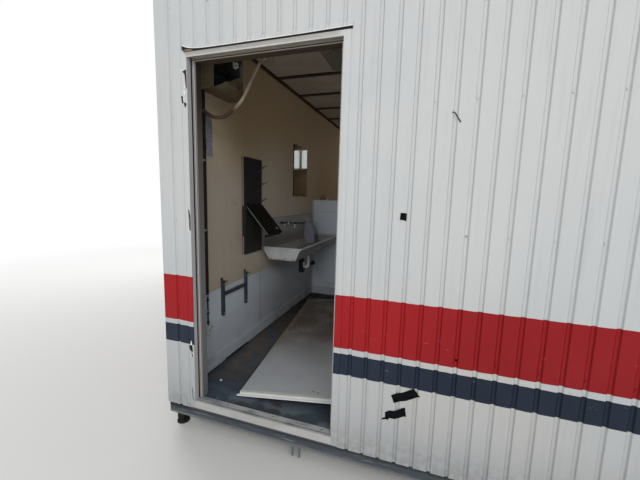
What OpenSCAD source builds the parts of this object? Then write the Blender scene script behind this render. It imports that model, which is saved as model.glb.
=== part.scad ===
// Portable site cabin: steel chassis on feet, insulated wall panels, grooved steel sheet
// cladding, an open doorway in the short end with its leaf lying on the floor inside.
// Millimetres. The origin is the middle of the footprint at ground level, +X to the right of
// the door end, +Y from the door end into the cabin, +Z up.

/* [Cabin] */
// Width over the cladding
body_w = 2500; // [2400:50:3000]
// Length over the cladding
body_l = 5000; // [4600:100:6000]
// Height of the room, floor to ceiling
room_h = 2440; // [2400:20:2700]
// Top of the floor above the ground
floor_z = 215; // [205:5:300]
// Thickness of a wall from the face of its cladding to its inner face
wall_t = 70; // [60:5:100]

/* [Cladding] */
// Distance from one groove of the sheet to the next
groove_pitch = 84.5; // [70:0.5:110]
// Width of a groove at the face
groove_w = 24; // [18:1:30]
// Depth of a groove
groove_d = 8; // [4:1:12]
// Width of each sloping side of a groove
groove_slope = 7; // [4:1:9]
// Thickness of the sheet
sheet_t = 2; // [1:0.5:3]
// Least flat width between a corner and the first groove
groove_margin = 60; // [50:5:120]
// How far the sheet hangs below the floor
sheet_drop = 50; // [45:5:60]
// Width of the corner trim on each wall
corner_leg = 14; // [13:1:30]
// Radius of the corner trim
corner_r = 9; // [3:1:12]

/* [Chassis] */
// Thickness of the floor deck
deck_t = 40; // [30:5:60]
// Height of the steel rails under the deck
rail_h = 85; // [70:5:100]
// Width of the rails' flanges
rail_w = 60; // [50:5:80]
// Thickness of the rails' steel
rail_t = 6; // [4:1:8]
// Number of cross members
cross_count = 4; // [2:1:8]
// Width of a cross member
cross_w = 50; // [40:5:80]
// Height of a cross member
cross_h = 65; // [50:5:65]
// Width of a foot's post
foot_w = 50; // [40:5:60]
// Width of a foot's plate
foot_plate_w = 80; // [60:5:120]
// Thickness of a foot's plate
foot_plate_t = 8; // [6:1:12]
// Distance from the outer faces of the cabin to the middle of a foot
foot_inset = 65; // [60:5:200]

/* [Step lugs] */
// Distance from the left corner to the middle of the pair of lugs
lug_x = 909; // [300:1:1500]
// Distance between the two lugs
lug_gap = 42; // [30:1:90]
// Width of a lug at the top
lug_w = 18; // [12:1:25]
// Width of a lug at its foot
lug_tip_w = 10; // [6:1:12]
// Length of a lug below the rail
lug_drop = 65; // [40:1:70]
// Thickness of a lug
lug_t = 8; // [5:1:12]

/* [Doorway] */
// Distance from the left corner to the outer edge of the door frame
door_offset = 189; // [120:1:400]
// Width of the door frame over its flanges
frame_w = 967; // [850:1:1100]
// Top of the door frame above the floor
frame_top = 2095; // [1950:5:2150]
// Width of the flange that shows on the cladding
flange_w = 36; // [28:1:50]
// Thickness of that flange
flange_t = 4; // [2:1:6]
// How far the flange laps over the cladding
flange_lap = 20; // [12:1:24]
// Depth of the rebate that the leaf shuts into
rebate_d = 42; // [30:1:50]
// Width of the door stop
stop_w = 16; // [10:1:24]
// Width and depth of the seal groove in the stop
seal_w = 6; // [4:1:8]
// Height of the threshold above the floor
sill_rise = 7; // [4:1:15]
// Depth of the threshold from the face of the cladding
sill_d = 50; // [46:1:55]
// Height of the sill's lower lip
sill_lip = 14; // [8:1:20]
// How far the frame stands into the room beyond the wainscot
frame_proud = 22; // [0:1:30]

/* [Door leaf] */
// Width of the loose leaf over its lip
leaf_w = 885; // [700:5:900]
// Length of the loose leaf over its lip
leaf_l = 2060; // [1800:10:2080]
// Thickness of the loose leaf
leaf_t = 27; // [24:1:45]
// How far the skin beneath stands out round the leaf as a lip
leaf_lip = 15; // [8:1:25]
// Thickness of that lip
lip_t = 13; // [8:1:16]
// Width of the channel on each end of the leaf
channel_w = 26; // [20:1:80]
// How far the channel stands above the leaf's skin
channel_t = 1.5; // [1:0.5:3]
// Distance from the door end of the cabin to the leaf's near left corner
leaf_y = 134; // [120:1:200]
// Distance from the left inner wall to the leaf's near left corner
leaf_x = 368; // [340:1:420]
// Turn of the leaf on the floor, in degrees
leaf_turn = 7.6; // [4:0.1:9]
// Tilt of the leaf, which lies on its left edge and on its handle, in degrees
leaf_tilt = 3.4; // [2:0.1:5]
// Distance from the leaf's right edge to the handle beneath it
handle_in = 60; // [40:5:120]
// Distance from the leaf's near end to the handle
handle_y = 1010; // [800:10:1200]
// Length of the handle's lever
handle_l = 120; // [90:5:150]
// Radius of the handle's lever
handle_r = 9; // [7:1:12]

/* [Window] */
// Width of the window frame
window_w = 420; // [300:10:900]
// Height of the window frame
window_h = 460; // [300:10:480]
// Distance from the ceiling down to the top of the window frame
window_head = 116; // [50:1:1200]
// Width of the frame's members
window_bar = 35; // [25:1:50]
// Width of the bar between the panes
mullion_w = 30; // [20:1:50]
// Thickness of a pane
pane_t = 6; // [4:1:10]

/* [Roof] */
// Thickness of the roof panel
roof_t = 80; // [60:5:120]
// Height of the roof covering at the long sides
roof_edge = 6; // [4:1:12]
// Rise of the roof covering from the long sides to the ridge
roof_fall = 34; // [20:1:60]
// Distance between the roof's standing seams
seam_pitch = 500; // [300:50:800]
// Height of a standing seam
seam_h = 24; // [15:1:35]
// Width of a standing seam
seam_w = 22; // [15:1:35]
// Height of the fascia below the top of the roof panel
fascia_drop = 125; // [90:5:180]
// Thickness of the fascia
fascia_t = 3; // [2:1:5]
// Width of the fascia's top leg
fascia_leg = 40; // [25:5:80]
// How far the drip at the fascia's foot stands out from the cladding
fascia_drip = 10; // [6:1:20]

/* [Ceiling] */
// Distance from the door end to the first ceiling strip
strip_first = 325; // [200:5:500]
// Distance between ceiling strips
strip_pitch = 555; // [400:5:800]
// Width of a ceiling strip
strip_w = 50; // [30:5:80]
// Thickness of a ceiling strip
strip_t = 10; // [6:1:15]
// Width of the strip in the corner of wall and ceiling
cornice_w = 22; // [16:1:50]
// Length of the ceiling light
light_l = 1000; // [600:50:1200]
// Width of the ceiling light
light_w = 130; // [80:5:200]
// Height of the ceiling light
light_h = 72; // [50:1:100]
// Distance from the left inner wall to the ceiling light
light_x = 631; // [400:1:900]
// Distance from the door end to the far end of the ceiling light
light_y = 1200; // [1150:5:1500]

/* [Wall linings] */
// Height of the wainscot above the floor
wainscot_h = 595; // [400:5:640]
// Thickness of the wainscot
wainscot_t = 6; // [4:1:12]
// Width of a wainscot panel
panel_w = 1220; // [900:10:1400]
// Distance from the door end to the first joint between panels
panel_first = 1098; // [900:1:1200]
// Width and depth of the joint between panels
joint_w = 3; // [2:1:4]
// Height of the skirting
skirting_h = 96; // [60:1:120]
// Thickness of the skirting
skirting_t = 12; // [8:1:20]
// Distance from the wash trough to the half partition
partition_gap = 20; // [1:1:100]
// Length of the half partition
partition_l = 1200; // [700:10:1600]
// Height of the half partition
partition_h = 1269; // [1000:1:1500]
// Thickness of the half partition
partition_t = 40; // [30:1:60]
// Depth of the rail along the top of the half partition
partition_rail = 154; // [80:1:250]

/* [Wall fittings] */
// Distance from the door end to the mirror
mirror_y = 1870; // [1600:5:1900]
// Width of the mirror
mirror_w = 410; // [300:5:500]
// Height of the mirror
mirror_h = 580; // [400:5:700]
// Bottom of the mirror above the floor
mirror_z = 1310; // [1200:5:1500]
// Thickness of the mirror
mirror_t = 6; // [4:1:10]
// Distance from the door end to the wall board
board_y = 825; // [800:5:900]
// Width of the wall board
board_w = 285; // [250:1:312]
// Height of the wall board
board_h = 820; // [700:5:900]
// Bottom of the wall board above the floor
board_z = 803; // [700:1:900]
// Thickness of the wall board
board_t = 14; // [8:1:20]
// Length of the flap of the wall board
flap_l = 316; // [250:1:360]
// Hinge line of the flap above the foot of the wall board
flap_z = 412; // [380:1:500]
// Slope of the hanging flap below level, in degrees
flap_slope = 49; // [35:1:65]
// Thickness of the flap
flap_t = 12; // [8:1:16]
// Distance from the door end to the coat hooks
hook_y = 1155; // [1125:1:1250]
// Distance from one coat hook to the next
hook_gap = 150; // [100:5:180]
// Lowest coat hook above the floor
hook_z = 1262; // [1200:1:1350]
// How far a coat hook stands out
hook_reach = 46; // [30:1:60]
// Rise of a coat hook's arm, in degrees
hook_rise = 22; // [5:1:35]

/* [Washing place] */
// Distance from the door end to the wash trough
trough_y = 1140; // [1140:5:1200]
// Length of the wash trough
trough_l = 1350; // [1150:10:1700]
// Width of the wash trough from the wall to its rim
trough_w = 394; // [300:1:450]
// Depth of the wash trough
trough_h = 118; // [100:1:200]
// Rim of the wash trough above the floor
trough_z = 832; // [780:1:900]
// Thickness of the trough's walls
trough_t = 5; // [3:1:8]
// Width of the sloping front of the trough
trough_slope = 48; // [20:1:80]
// Width of the sloping back of the trough
trough_back = 75; // [40:1:100]
// Radius of the rolled rim
rim_r = 9; // [6:1:12]
// Height of the splash back above the rim
splash_h = 257; // [210:1:260]
// Thickness of the splash back
splash_t = 12; // [8:1:20]
// Distance from the trough's near end to the waste
waste_y = 560; // [400:10:900]
// Distance from the wall to the waste
waste_x = 265; // [240:1:280]
// Outer radius of the waste pipe
waste_r = 17; // [14:1:22]
// Drop of the waste pipe from the trough to its bend
waste_drop = 143; // [80:1:180]
// Radius of the bend in the waste trap
trap_r = 28.5; // [26:0.5:40]
// Outer radius of the trap's cup
cup_r = 30; // [28:1:40]
// Height of the trap's cup
cup_h = 143; // [110:1:160]
// How far the cup reaches below the middle of the bend
cup_foot = 90; // [60:1:100]
// Distance from the middle of the cup to the bend's rising leg
cup_off = 23; // [15:1:30]
// Radius of the outlet pipe from the cup to the half partition
outlet_r = 14; // [10:1:16]
// Height of the outlet's collar above the floor
outlet_z = 418; // [380:1:460]
// Radius of the collar where the outlet meets the half partition
collar_r = 28; // [22:1:35]
// Distance from the trough's near end to the first tap
tap_first = 470; // [200:10:500]
// Distance between the taps
tap_gap = 590; // [300:10:600]
// Number of taps
tap_count = 2; // [1:1:2]
// Height of the taps above the trough's rim
tap_z = 175; // [120:1:210]
// How far a tap stands out from the splash back
tap_reach = 125; // [80:1:150]
// Radius of a tap's body
tap_r = 13; // [10:1:16]

/* [Electrical] */
// Distance from the door end to the fuse box
box_y = 285; // [260:1:320]
// Length of the fuse box along the wall
box_l = 345; // [220:5:360]
// Depth of the fuse box
box_d = 118; // [100:1:180]
// Height of the fuse box
box_h = 300; // [240:5:320]
// Distance from the ceiling down to the top of the fuse box
box_head = 150; // [120:5:200]
// Thickness of the fuse box's casing
box_t = 3; // [2:0.5:5]
// Slope of the cover that has dropped inside the fuse box, in degrees
cover_turn = 27; // [15:1:30]
// Radius of the wall socket
socket_r = 36; // [30:1:45]
// Depth of the wall socket
socket_d = 26; // [18:1:40]
// Middle of the wall socket above the floor
socket_z = 327; // [280:1:400]
// Distance from the door end to the wall socket
socket_y = 320; // [310:1:380]
// Width of the trunking above the socket
trunk_w = 24; // [16:1:30]
// Depth of the trunking
trunk_d = 14; // [8:1:20]
// Foot of the trunking above the floor
trunk_z = 585; // [500:5:700]
// Radius of the cable from the trunking to the socket
cable_r = 4; // [3:0.5:6]

/* [Bench bracket] */
// Distance from the door end to the near upright
bench_y = 495; // [450:1:520]
// Distance between the two uprights
bench_gap = 328; // [250:1:400]
// Foot of the uprights above the floor
bench_z = 378; // [300:1:420]
// Length of the uprights
bench_h = 270; // [200:1:320]
// Height of the cross bar above the foot of the uprights
bench_bar = 156; // [100:1:180]
// Width of the bracket's square tube
bench_t = 22; // [16:1:30]

/* [Hidden] */

// Room left between pieces that must not touch, and a length that cuts right through
gap = 0.3;
cut = 1;

// Colours as the photograph shows them
white_paint = [0.79, 0.80, 0.80];
cream = [0.74, 0.71, 0.65];
steel_blue = [0.30, 0.35, 0.41];
beige = [0.72, 0.62, 0.48];
panel_grey = [0.70, 0.72, 0.74];
dark_brown = [0.12, 0.08, 0.06];
near_black = [0.06, 0.06, 0.07];
floor_blue = [0.22, 0.26, 0.31];

// Heights
deck_z = floor_z - deck_t;
rail_z = deck_z - rail_h;
sheet_z = floor_z - sheet_drop;
ceiling_z = floor_z + room_h;
roof_z = ceiling_z + roof_t;
sheet_h = roof_z - sheet_z;

// Points on each sloping side of a groove, and the fascia's height above the roof panel
ramp_steps = 3;
fascia_top = roof_edge + seam_h + 4;

// Plan: half sizes outside, at the back of the cladding, and inside the room
half_w = body_w / 2;
half_l = body_l / 2;
skin_d = groove_d + sheet_t;
core_x = half_w - skin_d;
core_y = half_l - skin_d;
room_x = half_w - wall_t;
room_y = half_l - wall_t;

// Door frame
frame_x0 = door_offset - half_w;
frame_x1 = frame_x0 + frame_w;
frame_z1 = floor_z + frame_top;
frame_in = flange_w + stop_w;
frame_d = wall_t + wainscot_t + frame_proud;
hole_x0 = frame_x0 + flange_lap;
hole_x1 = frame_x1 - flange_lap;
hole_z1 = frame_z1 - flange_lap;

// Window
window_lap = 15;
window_z1 = ceiling_z - window_head;
window_z0 = window_z1 - window_h;
pane_w = (window_w - 2 * window_bar - mullion_w) / 2;
pane_h = window_h - 2 * window_bar;

// Places on the left wall, and along the cabin from its door end
lining_x = wainscot_t - room_x;
partition_y0 = trough_y + trough_l + partition_gap - half_l;
partition_y1 = partition_y0 + partition_t;
lining_y = room_y - wainscot_t;

// Fuse box, and the ends of what hangs or drops from it
box_y0 = box_y - half_l;
box_z0 = ceiling_z - box_head - box_h;
box_x1 = box_d - room_x;
trunk_y = socket_y - half_l;

// Wash trough
trough_y0 = trough_y - half_l;
trough_rim = floor_z + trough_z;
waste_top = trough_rim - trough_h;
trough_waste = [waste_x - room_x, trough_y0 + waste_y];

// A conduit of this radius hangs from the ceiling and turns into the trunking along these points
conduit_r = 12.5;
conduit_sides = 10;
conduit_route = [[-920, -1700, 2655], [-920, -1702, 2625], [-928, -1722, 2595], [-936, -1755, 2558],
    [-942, -1802, 2512], [-947, -1850, 2455], [-953, -1888, 2396], [-960, -1922, 2332],
    [-971, -1962, 2256], [-984, -2001, 2184], [-1000, -2046, 2126], [-1017, -2094, 2078],
    [-1035, -2140, 2040], [-1058, -2176, 2024], [-1084, -2192, 2026], [-1112, -2196, 2038],
    [-1140, -2190, 2055], [-1166, -2180, 2071]];

// A smooth step from 0 to 1
function ramp(t) = t * t * (3 - 2 * t);

// The middles of the grooves along a sheet, even about its own middle
function groove_places(length) =
    let (pairs = floor((length / 2 - groove_margin) / groove_pitch + 0.5))
    [for (k = [-pairs : pairs - 1]) (k + 0.5) * groove_pitch];

// One groove across the face of a sheet, pressed in by groove_d
function groove_points(middle, back) = concat(
    [for (i = [0 : ramp_steps]) [middle - groove_w / 2 + groove_slope * i / ramp_steps,
        back + groove_d * ramp(i / ramp_steps)]],
    [for (i = [0 : ramp_steps]) [middle + groove_w / 2 - groove_slope * (1 - i / ramp_steps),
        back + groove_d * ramp(1 - i / ramp_steps)]]);

// The face of a sheet from end to end; back moves it in by the sheet's thickness
function sheet_face(length, back) = concat(
    [[-length / 2, back]],
    [for (middle = groove_places(length)) each groove_points(middle, back)],
    [[length / 2, back]]);

function reversed(points) = [for (i = [len(points) - 1 : -1 : 0]) points[i]];

// Rolled sheet standing upright, its face at y = 0 looking to -Y
module grooved_sheet(length, height) {
    linear_extrude(height = height)
        polygon(concat(sheet_face(length, 0), reversed(sheet_face(length, sheet_t))));
}

// A block given by its two far corners
module block(low, high) {
    translate(low) cube(high - low);
}

// A steel channel along X, its web at y = 0 facing -Y and its flanges running to +Y
module rail(length) {
    translate([-length / 2, 0, 0]) cube([length, rail_t, rail_h]);
    translate([-length / 2, 0, 0]) cube([length, rail_w, rail_t]);
    translate([-length / 2, 0, rail_h - rail_t]) cube([length, rail_w, rail_t]);
}

module end_rails() {
    color(steel_blue)
        for (turn = [0, 180])
            rotate([0, 0, turn]) translate([0, -core_y, rail_z]) rail(2 * core_x);
}

module side_rails() {
    color(steel_blue)
        for (turn = [90, 270])
            rotate([0, 0, turn]) translate([0, -core_x, rail_z]) rail(2 * (core_y - rail_w));
}

module cross_members() {
    bay = 2 * core_y / (cross_count + 1);
    color(steel_blue)
        for (i = [1 : cross_count])
            block([rail_w - core_x, i * bay - core_y - cross_w / 2, deck_z - cross_h],
                [core_x - rail_w, i * bay - core_y + cross_w / 2, deck_z]);
}

module foot() {
    cylinder(d = foot_plate_w, h = foot_plate_t, $fn = 48);
    translate([-foot_w / 2, -foot_w / 2, 0]) cube([foot_w, foot_w, rail_z]);
}

module feet() {
    color(near_black)
        for (x = [-1, 1], y = [-1, 0, 1])
            translate([x * (half_w - foot_inset), y * (half_l - foot_inset), 0]) foot();
}

module step_lugs() {
    color(cream)
        for (side = [-1, 1])
            translate([lug_x - half_w + side * lug_gap / 2, lug_t - core_y, rail_z])
                rotate([90, 0, 0])
                    linear_extrude(height = lug_t)
                        polygon([[-lug_w / 2, 0], [-lug_tip_w / 2, -lug_drop],
                            [lug_tip_w / 2, -lug_drop], [lug_w / 2, 0]]);
}

module floor_deck() {
    color(floor_blue) block([-core_x, -core_y, deck_z], [core_x, core_y, floor_z]);
}

module front_wall_left() {
    color(beige) block([-core_x, -core_y, floor_z], [hole_x0, -room_y, ceiling_z]);
}

module front_wall_right() {
    color(beige) block([hole_x1, -core_y, floor_z], [core_x, -room_y, ceiling_z]);
}

module front_wall_over_door() {
    color(beige) block([hole_x0, -core_y, hole_z1], [hole_x1, -room_y, ceiling_z]);
}

module left_wall() {
    color(beige) block([-core_x, -room_y, floor_z], [-room_x, room_y, ceiling_z]);
}

module right_wall() {
    color(beige) block([room_x, -room_y, floor_z], [core_x, room_y, ceiling_z]);
}

// The hole for the window through the back wall and its cladding
module window_hole() {
    block([window_lap - window_w / 2, room_y - cut, window_z0 + window_lap],
        [window_w / 2 - window_lap, half_l + cut, window_z1 - window_lap]);
}

module back_wall() {
    color(beige)
        difference() {
            block([-core_x, room_y, floor_z], [core_x, core_y, ceiling_z]);
            window_hole();
        }
}

module front_cladding() {
    color(white_paint)
        difference() {
            translate([0, -half_l, sheet_z]) grooved_sheet(body_w - 2 * corner_leg, sheet_h);
            block([hole_x0, -half_l - cut, sheet_z - cut], [hole_x1, -core_y + cut, hole_z1]);
        }
}

module left_cladding() {
    color(white_paint)
        rotate([0, 0, -90])
            translate([0, -half_w, sheet_z]) grooved_sheet(body_l - 2 * corner_leg, sheet_h);
}

module right_cladding() {
    color(white_paint)
        rotate([0, 0, 90])
            translate([0, -half_w, sheet_z]) grooved_sheet(body_l - 2 * corner_leg, sheet_h);
}

module back_cladding() {
    color(white_paint)
        difference() {
            rotate([0, 0, 180])
                translate([0, -half_l, sheet_z]) grooved_sheet(body_w - 2 * corner_leg, sheet_h);
            window_hole();
        }
}

// The angle that closes a corner, its rounded edge towards -X and -Y
module corner_trim() {
    linear_extrude(height = sheet_h)
        difference() {
            union() {
                translate([corner_r, 0]) square([corner_leg - corner_r, corner_leg]);
                translate([0, corner_r]) square([corner_leg, corner_leg - corner_r]);
                translate([corner_r, corner_r]) circle(r = corner_r, $fn = 48);
            }
            translate([skin_d, skin_d]) square(corner_leg);
        }
}

module corner_trims() {
    color(white_paint)
        for (x = [0, 1], y = [0, 1])
            mirror([x, 0, 0]) mirror([0, y, 0])
                translate([-half_w, -half_l, sheet_z]) corner_trim();
}

module roof_panel() {
    color(panel_grey) block([-core_x, -core_y, ceiling_z], [core_x, core_y, roof_z]);
}

// A band of the roof covering, from its flat underside to a low ridge in the middle
module roof_band(length, lift) {
    rotate([90, 0, 0])
        linear_extrude(height = length)
            polygon([[-core_x, 0], [core_x, 0], [core_x, roof_edge + lift],
                [0, roof_edge + roof_fall + lift], [-core_x, roof_edge + lift]]);
}

module roof_covering() {
    seams = floor((core_y - seam_w) / seam_pitch);
    color(steel_blue)
        translate([0, 0, roof_z]) {
            translate([0, core_y, 0]) roof_band(2 * core_y, 0);
            for (i = [-seams : seams])
                translate([0, i * seam_pitch + seam_w / 2, 0]) roof_band(seam_w, seam_h);
        }
}

// The end fascias follow the ridge; the side fascias turn in over the covering. Each has a
// drip along its foot.
module roof_fascia() {
    side_top = roof_z + fascia_top;
    foot_z = roof_z - fascia_drop;
    color(white_paint) {
        for (turn = [0, 180])
            rotate([0, 0, turn])
                translate([0, -half_l, roof_z])
                    rotate([90, 0, 0])
                        linear_extrude(height = fascia_t)
                            polygon([[-half_w - fascia_t, -fascia_drop],
                                [half_w + fascia_t, -fascia_drop],
                                [half_w + fascia_t, fascia_top],
                                [0, fascia_top + roof_fall],
                                [-half_w - fascia_t, fascia_top]]);
        for (turn = [0, 180])
            rotate([0, 0, turn]) {
                block([-half_w - fascia_drip, -half_l - fascia_drip, foot_z],
                    [half_w + fascia_drip, -half_l, foot_z + fascia_t]);
                block([half_w, gap - half_l, foot_z],
                    [half_w + fascia_drip, half_l - gap, foot_z + fascia_t]);
                block([half_w, gap - half_l, foot_z],
                    [half_w + fascia_t, half_l - gap, side_top]);
                block([half_w - fascia_leg, gap - half_l, side_top - fascia_t + 1],
                    [half_w + fascia_t, half_l - gap, side_top]);
            }
    }
}

module ceiling_strips() {
    strips = floor((2 * room_y + wall_t - strip_first) / strip_pitch);
    color(dark_brown) {
        for (side = [-1, 1])
            block([side * (room_x - cornice_w / 2) - cornice_w / 2, -room_y, ceiling_z - cornice_w],
                [side * (room_x - cornice_w / 2) + cornice_w / 2, room_y, ceiling_z]);
        for (i = [0 : strips])
            block([cornice_w - room_x, strip_first + i * strip_pitch - half_l - strip_w / 2,
                    ceiling_z - strip_t],
                [room_x - cornice_w, strip_first + i * strip_pitch - half_l + strip_w / 2,
                    ceiling_z]);
    }
}

// A batten light under the strips: a tray with a rounded diffuser
module ceiling_light() {
    tray_h = light_h / 2;
    round_r = light_h - tray_h;
    color(panel_grey)
        translate([light_x - room_x, light_y - half_l, ceiling_z - strip_t]) {
            translate([0, -light_l, -tray_h]) cube([light_w, light_l, tray_h]);
            rotate([90, 0, 0])
                linear_extrude(height = light_l) {
                    translate([round_r, -tray_h]) circle(r = round_r, $fn = 48);
                    translate([light_w - round_r, -tray_h]) circle(r = round_r, $fn = 48);
                    translate([round_r, -tray_h - round_r])
                        square([light_w - 2 * round_r, light_h - tray_h]);
                }
        }
}

// Section of the door frame: x runs from its outer edge into the doorway, y into the wall
module frame_section() {
    stop_y = rebate_d - flange_t;
    seal_x = flange_w + (stop_w - seal_w) / 2;
    difference() {
        union() {
            translate([0, -flange_t]) square([flange_w, flange_t]);
            translate([flange_lap, -flange_t]) square([flange_w - flange_lap, frame_d + flange_t]);
            translate([flange_w - cut, stop_y]) square([stop_w + cut, frame_d - stop_y]);
        }
        translate([seal_x, stop_y - cut]) square([seal_w, seal_w + cut]);
    }
}

// A wedge that trims a bar of the frame to a mitre; side is 1 above the mitre and -1 below
module mitre_wedge(side) {
    reach = 3 * frame_in;
    rotate([0, 45, 0])
        translate([-reach, -reach, side > 0 ? 0 : -reach]) cube([2 * reach, 3 * reach, reach]);
}

// One upright of the frame, seen as the left one; its foot is notched over the sill, and its
// flange runs on down to the sill's lip
module door_jamb() {
    lip_z = sheet_z + sill_lip;
    sill_z1 = floor_z + sill_rise;
    color(cream) {
        difference() {
            translate([0, -half_l, floor_z])
                linear_extrude(height = frame_top) frame_section();
            translate([0, -half_l, frame_z1]) mitre_wedge(1);
            translate([-cut, -half_l - flange_t - cut, floor_z - cut])
                cube([frame_in + 2 * cut, sill_d + flange_t + cut, sill_rise + cut]);
        }
        translate([0, -half_l - flange_t, lip_z])
            cube([flange_w - gap, flange_t, sill_z1 - lip_z]);
    }
}

module door_frame_left() {
    translate([frame_x0, 0, 0]) door_jamb();
}

module door_frame_right() {
    translate([frame_x1, 0, 0]) mirror([1, 0, 0]) door_jamb();
}

module door_frame_head() {
    color(cream)
        translate([frame_x0, -half_l, frame_z1])
            difference() {
                rotate([0, 90, 0]) linear_extrude(height = frame_w) frame_section();
                mitre_wedge(-1);
                translate([frame_w, 0, 0]) mirror([1, 0, 0]) mitre_wedge(-1);
            }
}

// The sill runs through beneath the jambs
module door_sill() {
    sill_x0 = frame_x0 + flange_w;
    sill_x1 = frame_x1 - flange_w;
    sill_z1 = floor_z + sill_rise;
    color(cream) {
        block([frame_x0, -half_l - flange_t, sheet_z],
            [frame_x1, -half_l, sheet_z + sill_lip]);
        block([sill_x0, -half_l - flange_t, sheet_z], [sill_x1, -half_l + cut, sill_z1]);
        block([hole_x0, -half_l, sheet_z], [hole_x1, -core_y, sill_z1]);
        block([hole_x0, -core_y - cut, floor_z], [hole_x1, sill_d - half_l, sill_z1]);
    }
}

// The handle on the leaf's underside: a neck, and a lever with round ends along the leaf
module leaf_handle(neck) {
    cylinder(r = handle_r, h = neck, $fn = 32);
    sphere(r = handle_r, $fn = 32);
    rotate([-90, 0, 0]) cylinder(r = handle_r, h = handle_l, $fn = 32);
    translate([0, handle_l, 0]) sphere(r = handle_r, $fn = 32);
}

// The leaf lies on its left edge and on its handle: a skin with a lip all round, the core
// over it, and a channel over the core's two ends
module loose_door_leaf() {
    handle_x = leaf_w - handle_in;
    lever_z = (handle_r - handle_x * sin(leaf_tilt)) / cos(leaf_tilt);
    color(panel_grey)
        translate([leaf_x - room_x, leaf_y - half_l, floor_z])
            rotate([0, 0, leaf_turn])
                rotate([0, -leaf_tilt, 0]) {
                    cube([leaf_w, leaf_l, lip_t]);
                    translate([leaf_lip, leaf_lip, 0])
                        cube([leaf_w - 2 * leaf_lip, leaf_l - 2 * leaf_lip, leaf_t - channel_t]);
                    for (end = [0, 1])
                        translate([leaf_lip, leaf_lip + end * (leaf_l - 2 * leaf_lip - channel_w), 0])
                            cube([leaf_w - 2 * leaf_lip, channel_w, leaf_t]);
                    translate([handle_x, handle_y, lever_z]) leaf_handle(cut - lever_z);
                }
}

// Outer flange, tube through the wall and inner flange, with a bar between the panes
module window_frame() {
    inner_y = room_y - flange_t;
    tube_x = window_w / 2 - window_lap;
    tube_z0 = window_z0 + window_lap;
    tube_z1 = window_z1 - window_lap;
    color(panel_grey)
        difference() {
            union() {
                block([-window_w / 2, half_l, window_z0],
                    [window_w / 2, half_l + flange_t, window_z1]);
                block([-tube_x, inner_y, tube_z0], [tube_x, half_l + cut, tube_z1]);
                block([-window_w / 2, inner_y, window_z0], [window_w / 2, room_y, window_z1]);
            }
            for (side = [-1, 1])
                translate([side * (pane_w + mullion_w) / 2 - pane_w / 2, inner_y - cut,
                        window_z0 + window_bar])
                    cube([pane_w, wall_t + 2 * flange_t + 2 * cut, pane_h]);
        }
}

module window_panes() {
    pane_y = half_l - wall_t / 2;
    color([0.85, 0.88, 0.88])
        for (side = [-1, 1])
            translate([side * (pane_w + mullion_w) / 2 - pane_w / 2 + gap, pane_y,
                    window_z0 + window_bar + gap])
                cube([pane_w - 2 * gap, pane_t, pane_h - 2 * gap]);
}

// Linings on the walls around the room: the sides, the back, and beside the doorway
module lining(lining_t, height, inset) {
    side_y = room_y - inset;
    end_x = room_x - inset - lining_t - gap;
    for (side = [-1, 1])
        translate([side * (room_x - inset - lining_t / 2) - lining_t / 2, -side_y, floor_z])
            cube([lining_t, 2 * side_y, height]);
    block([-end_x, room_y - inset - lining_t, floor_z], [end_x, room_y - inset, floor_z + height]);
    block([-end_x, inset - room_y, floor_z],
        [hole_x0, inset + lining_t - room_y, floor_z + height]);
    block([hole_x1, inset - room_y, floor_z],
        [end_x, inset + lining_t - room_y, floor_z + height]);
}

module wainscot() {
    joints = floor((2 * room_y + wall_t - panel_first - joint_w) / panel_w);
    color(panel_grey)
        difference() {
            lining(wainscot_t, wainscot_h, 0);
            for (side = [-1, 1], i = [0 : joints])
                translate([side * (room_x - wainscot_t), panel_first + i * panel_w - half_l, floor_z])
                    translate([-joint_w, -joint_w / 2, -cut])
                        cube([2 * joint_w, joint_w, wainscot_h + 2 * cut]);
        }
}

module skirting() {
    face_y = partition_y0 - skirting_t;
    color(panel_grey) {
        difference() {
            lining(skirting_t, skirting_h, wainscot_t);
            block([-room_x, face_y - gap, floor_z - cut],
                [lining_x + skirting_t + cut, partition_y1 + gap, floor_z + skirting_h + cut]);
            block([hole_x0 - skirting_t, -room_y, floor_z - cut],
                [hole_x1 + skirting_t, skirting_t + wainscot_t + cut - room_y,
                    floor_z + skirting_h + cut]);
        }
        block([lining_x, face_y, floor_z],
            [lining_x + partition_l, partition_y0, floor_z + skirting_h]);
    }
}

module half_partition() {
    rail_top = floor_z + partition_h;
    color(panel_grey)
        difference() {
            union() {
                block([lining_x, partition_y0, floor_z],
                    [lining_x + partition_l, partition_y1, rail_top]);
                block([-room_x, partition_y0, floor_z + wainscot_h],
                    [lining_x + cut, partition_y1, rail_top]);
            }
            block([-room_x - cut, partition_y0 - cut, rail_top - partition_rail - joint_w],
                [lining_x + partition_l + cut, partition_y0 + joint_w, rail_top - partition_rail]);
        }
}

module wall_mirror() {
    mirror_z0 = floor_z + mirror_z;
    color([0.62, 0.60, 0.56])
        block([-room_x, mirror_y - half_l, mirror_z0],
            [mirror_t - room_x, mirror_y + mirror_w - half_l, mirror_z0 + mirror_h]);
}

// A black board with a hinge cheek on its near side
module wall_board() {
    cheek_w = 26;
    cheek_d = 34;
    cheek_h = 250;
    hinge_z = floor_z + board_z + flap_z;
    board_y0 = board_y - half_l;
    color(near_black) {
        block([-room_x, board_y0, floor_z + board_z],
            [board_t - room_x, board_y0 + board_w, floor_z + board_z + board_h]);
        block([-room_x, board_y0 - cheek_w, hinge_z - cheek_h],
            [cheek_d - room_x, board_y0 + cut, hinge_z]);
    }
}

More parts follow.
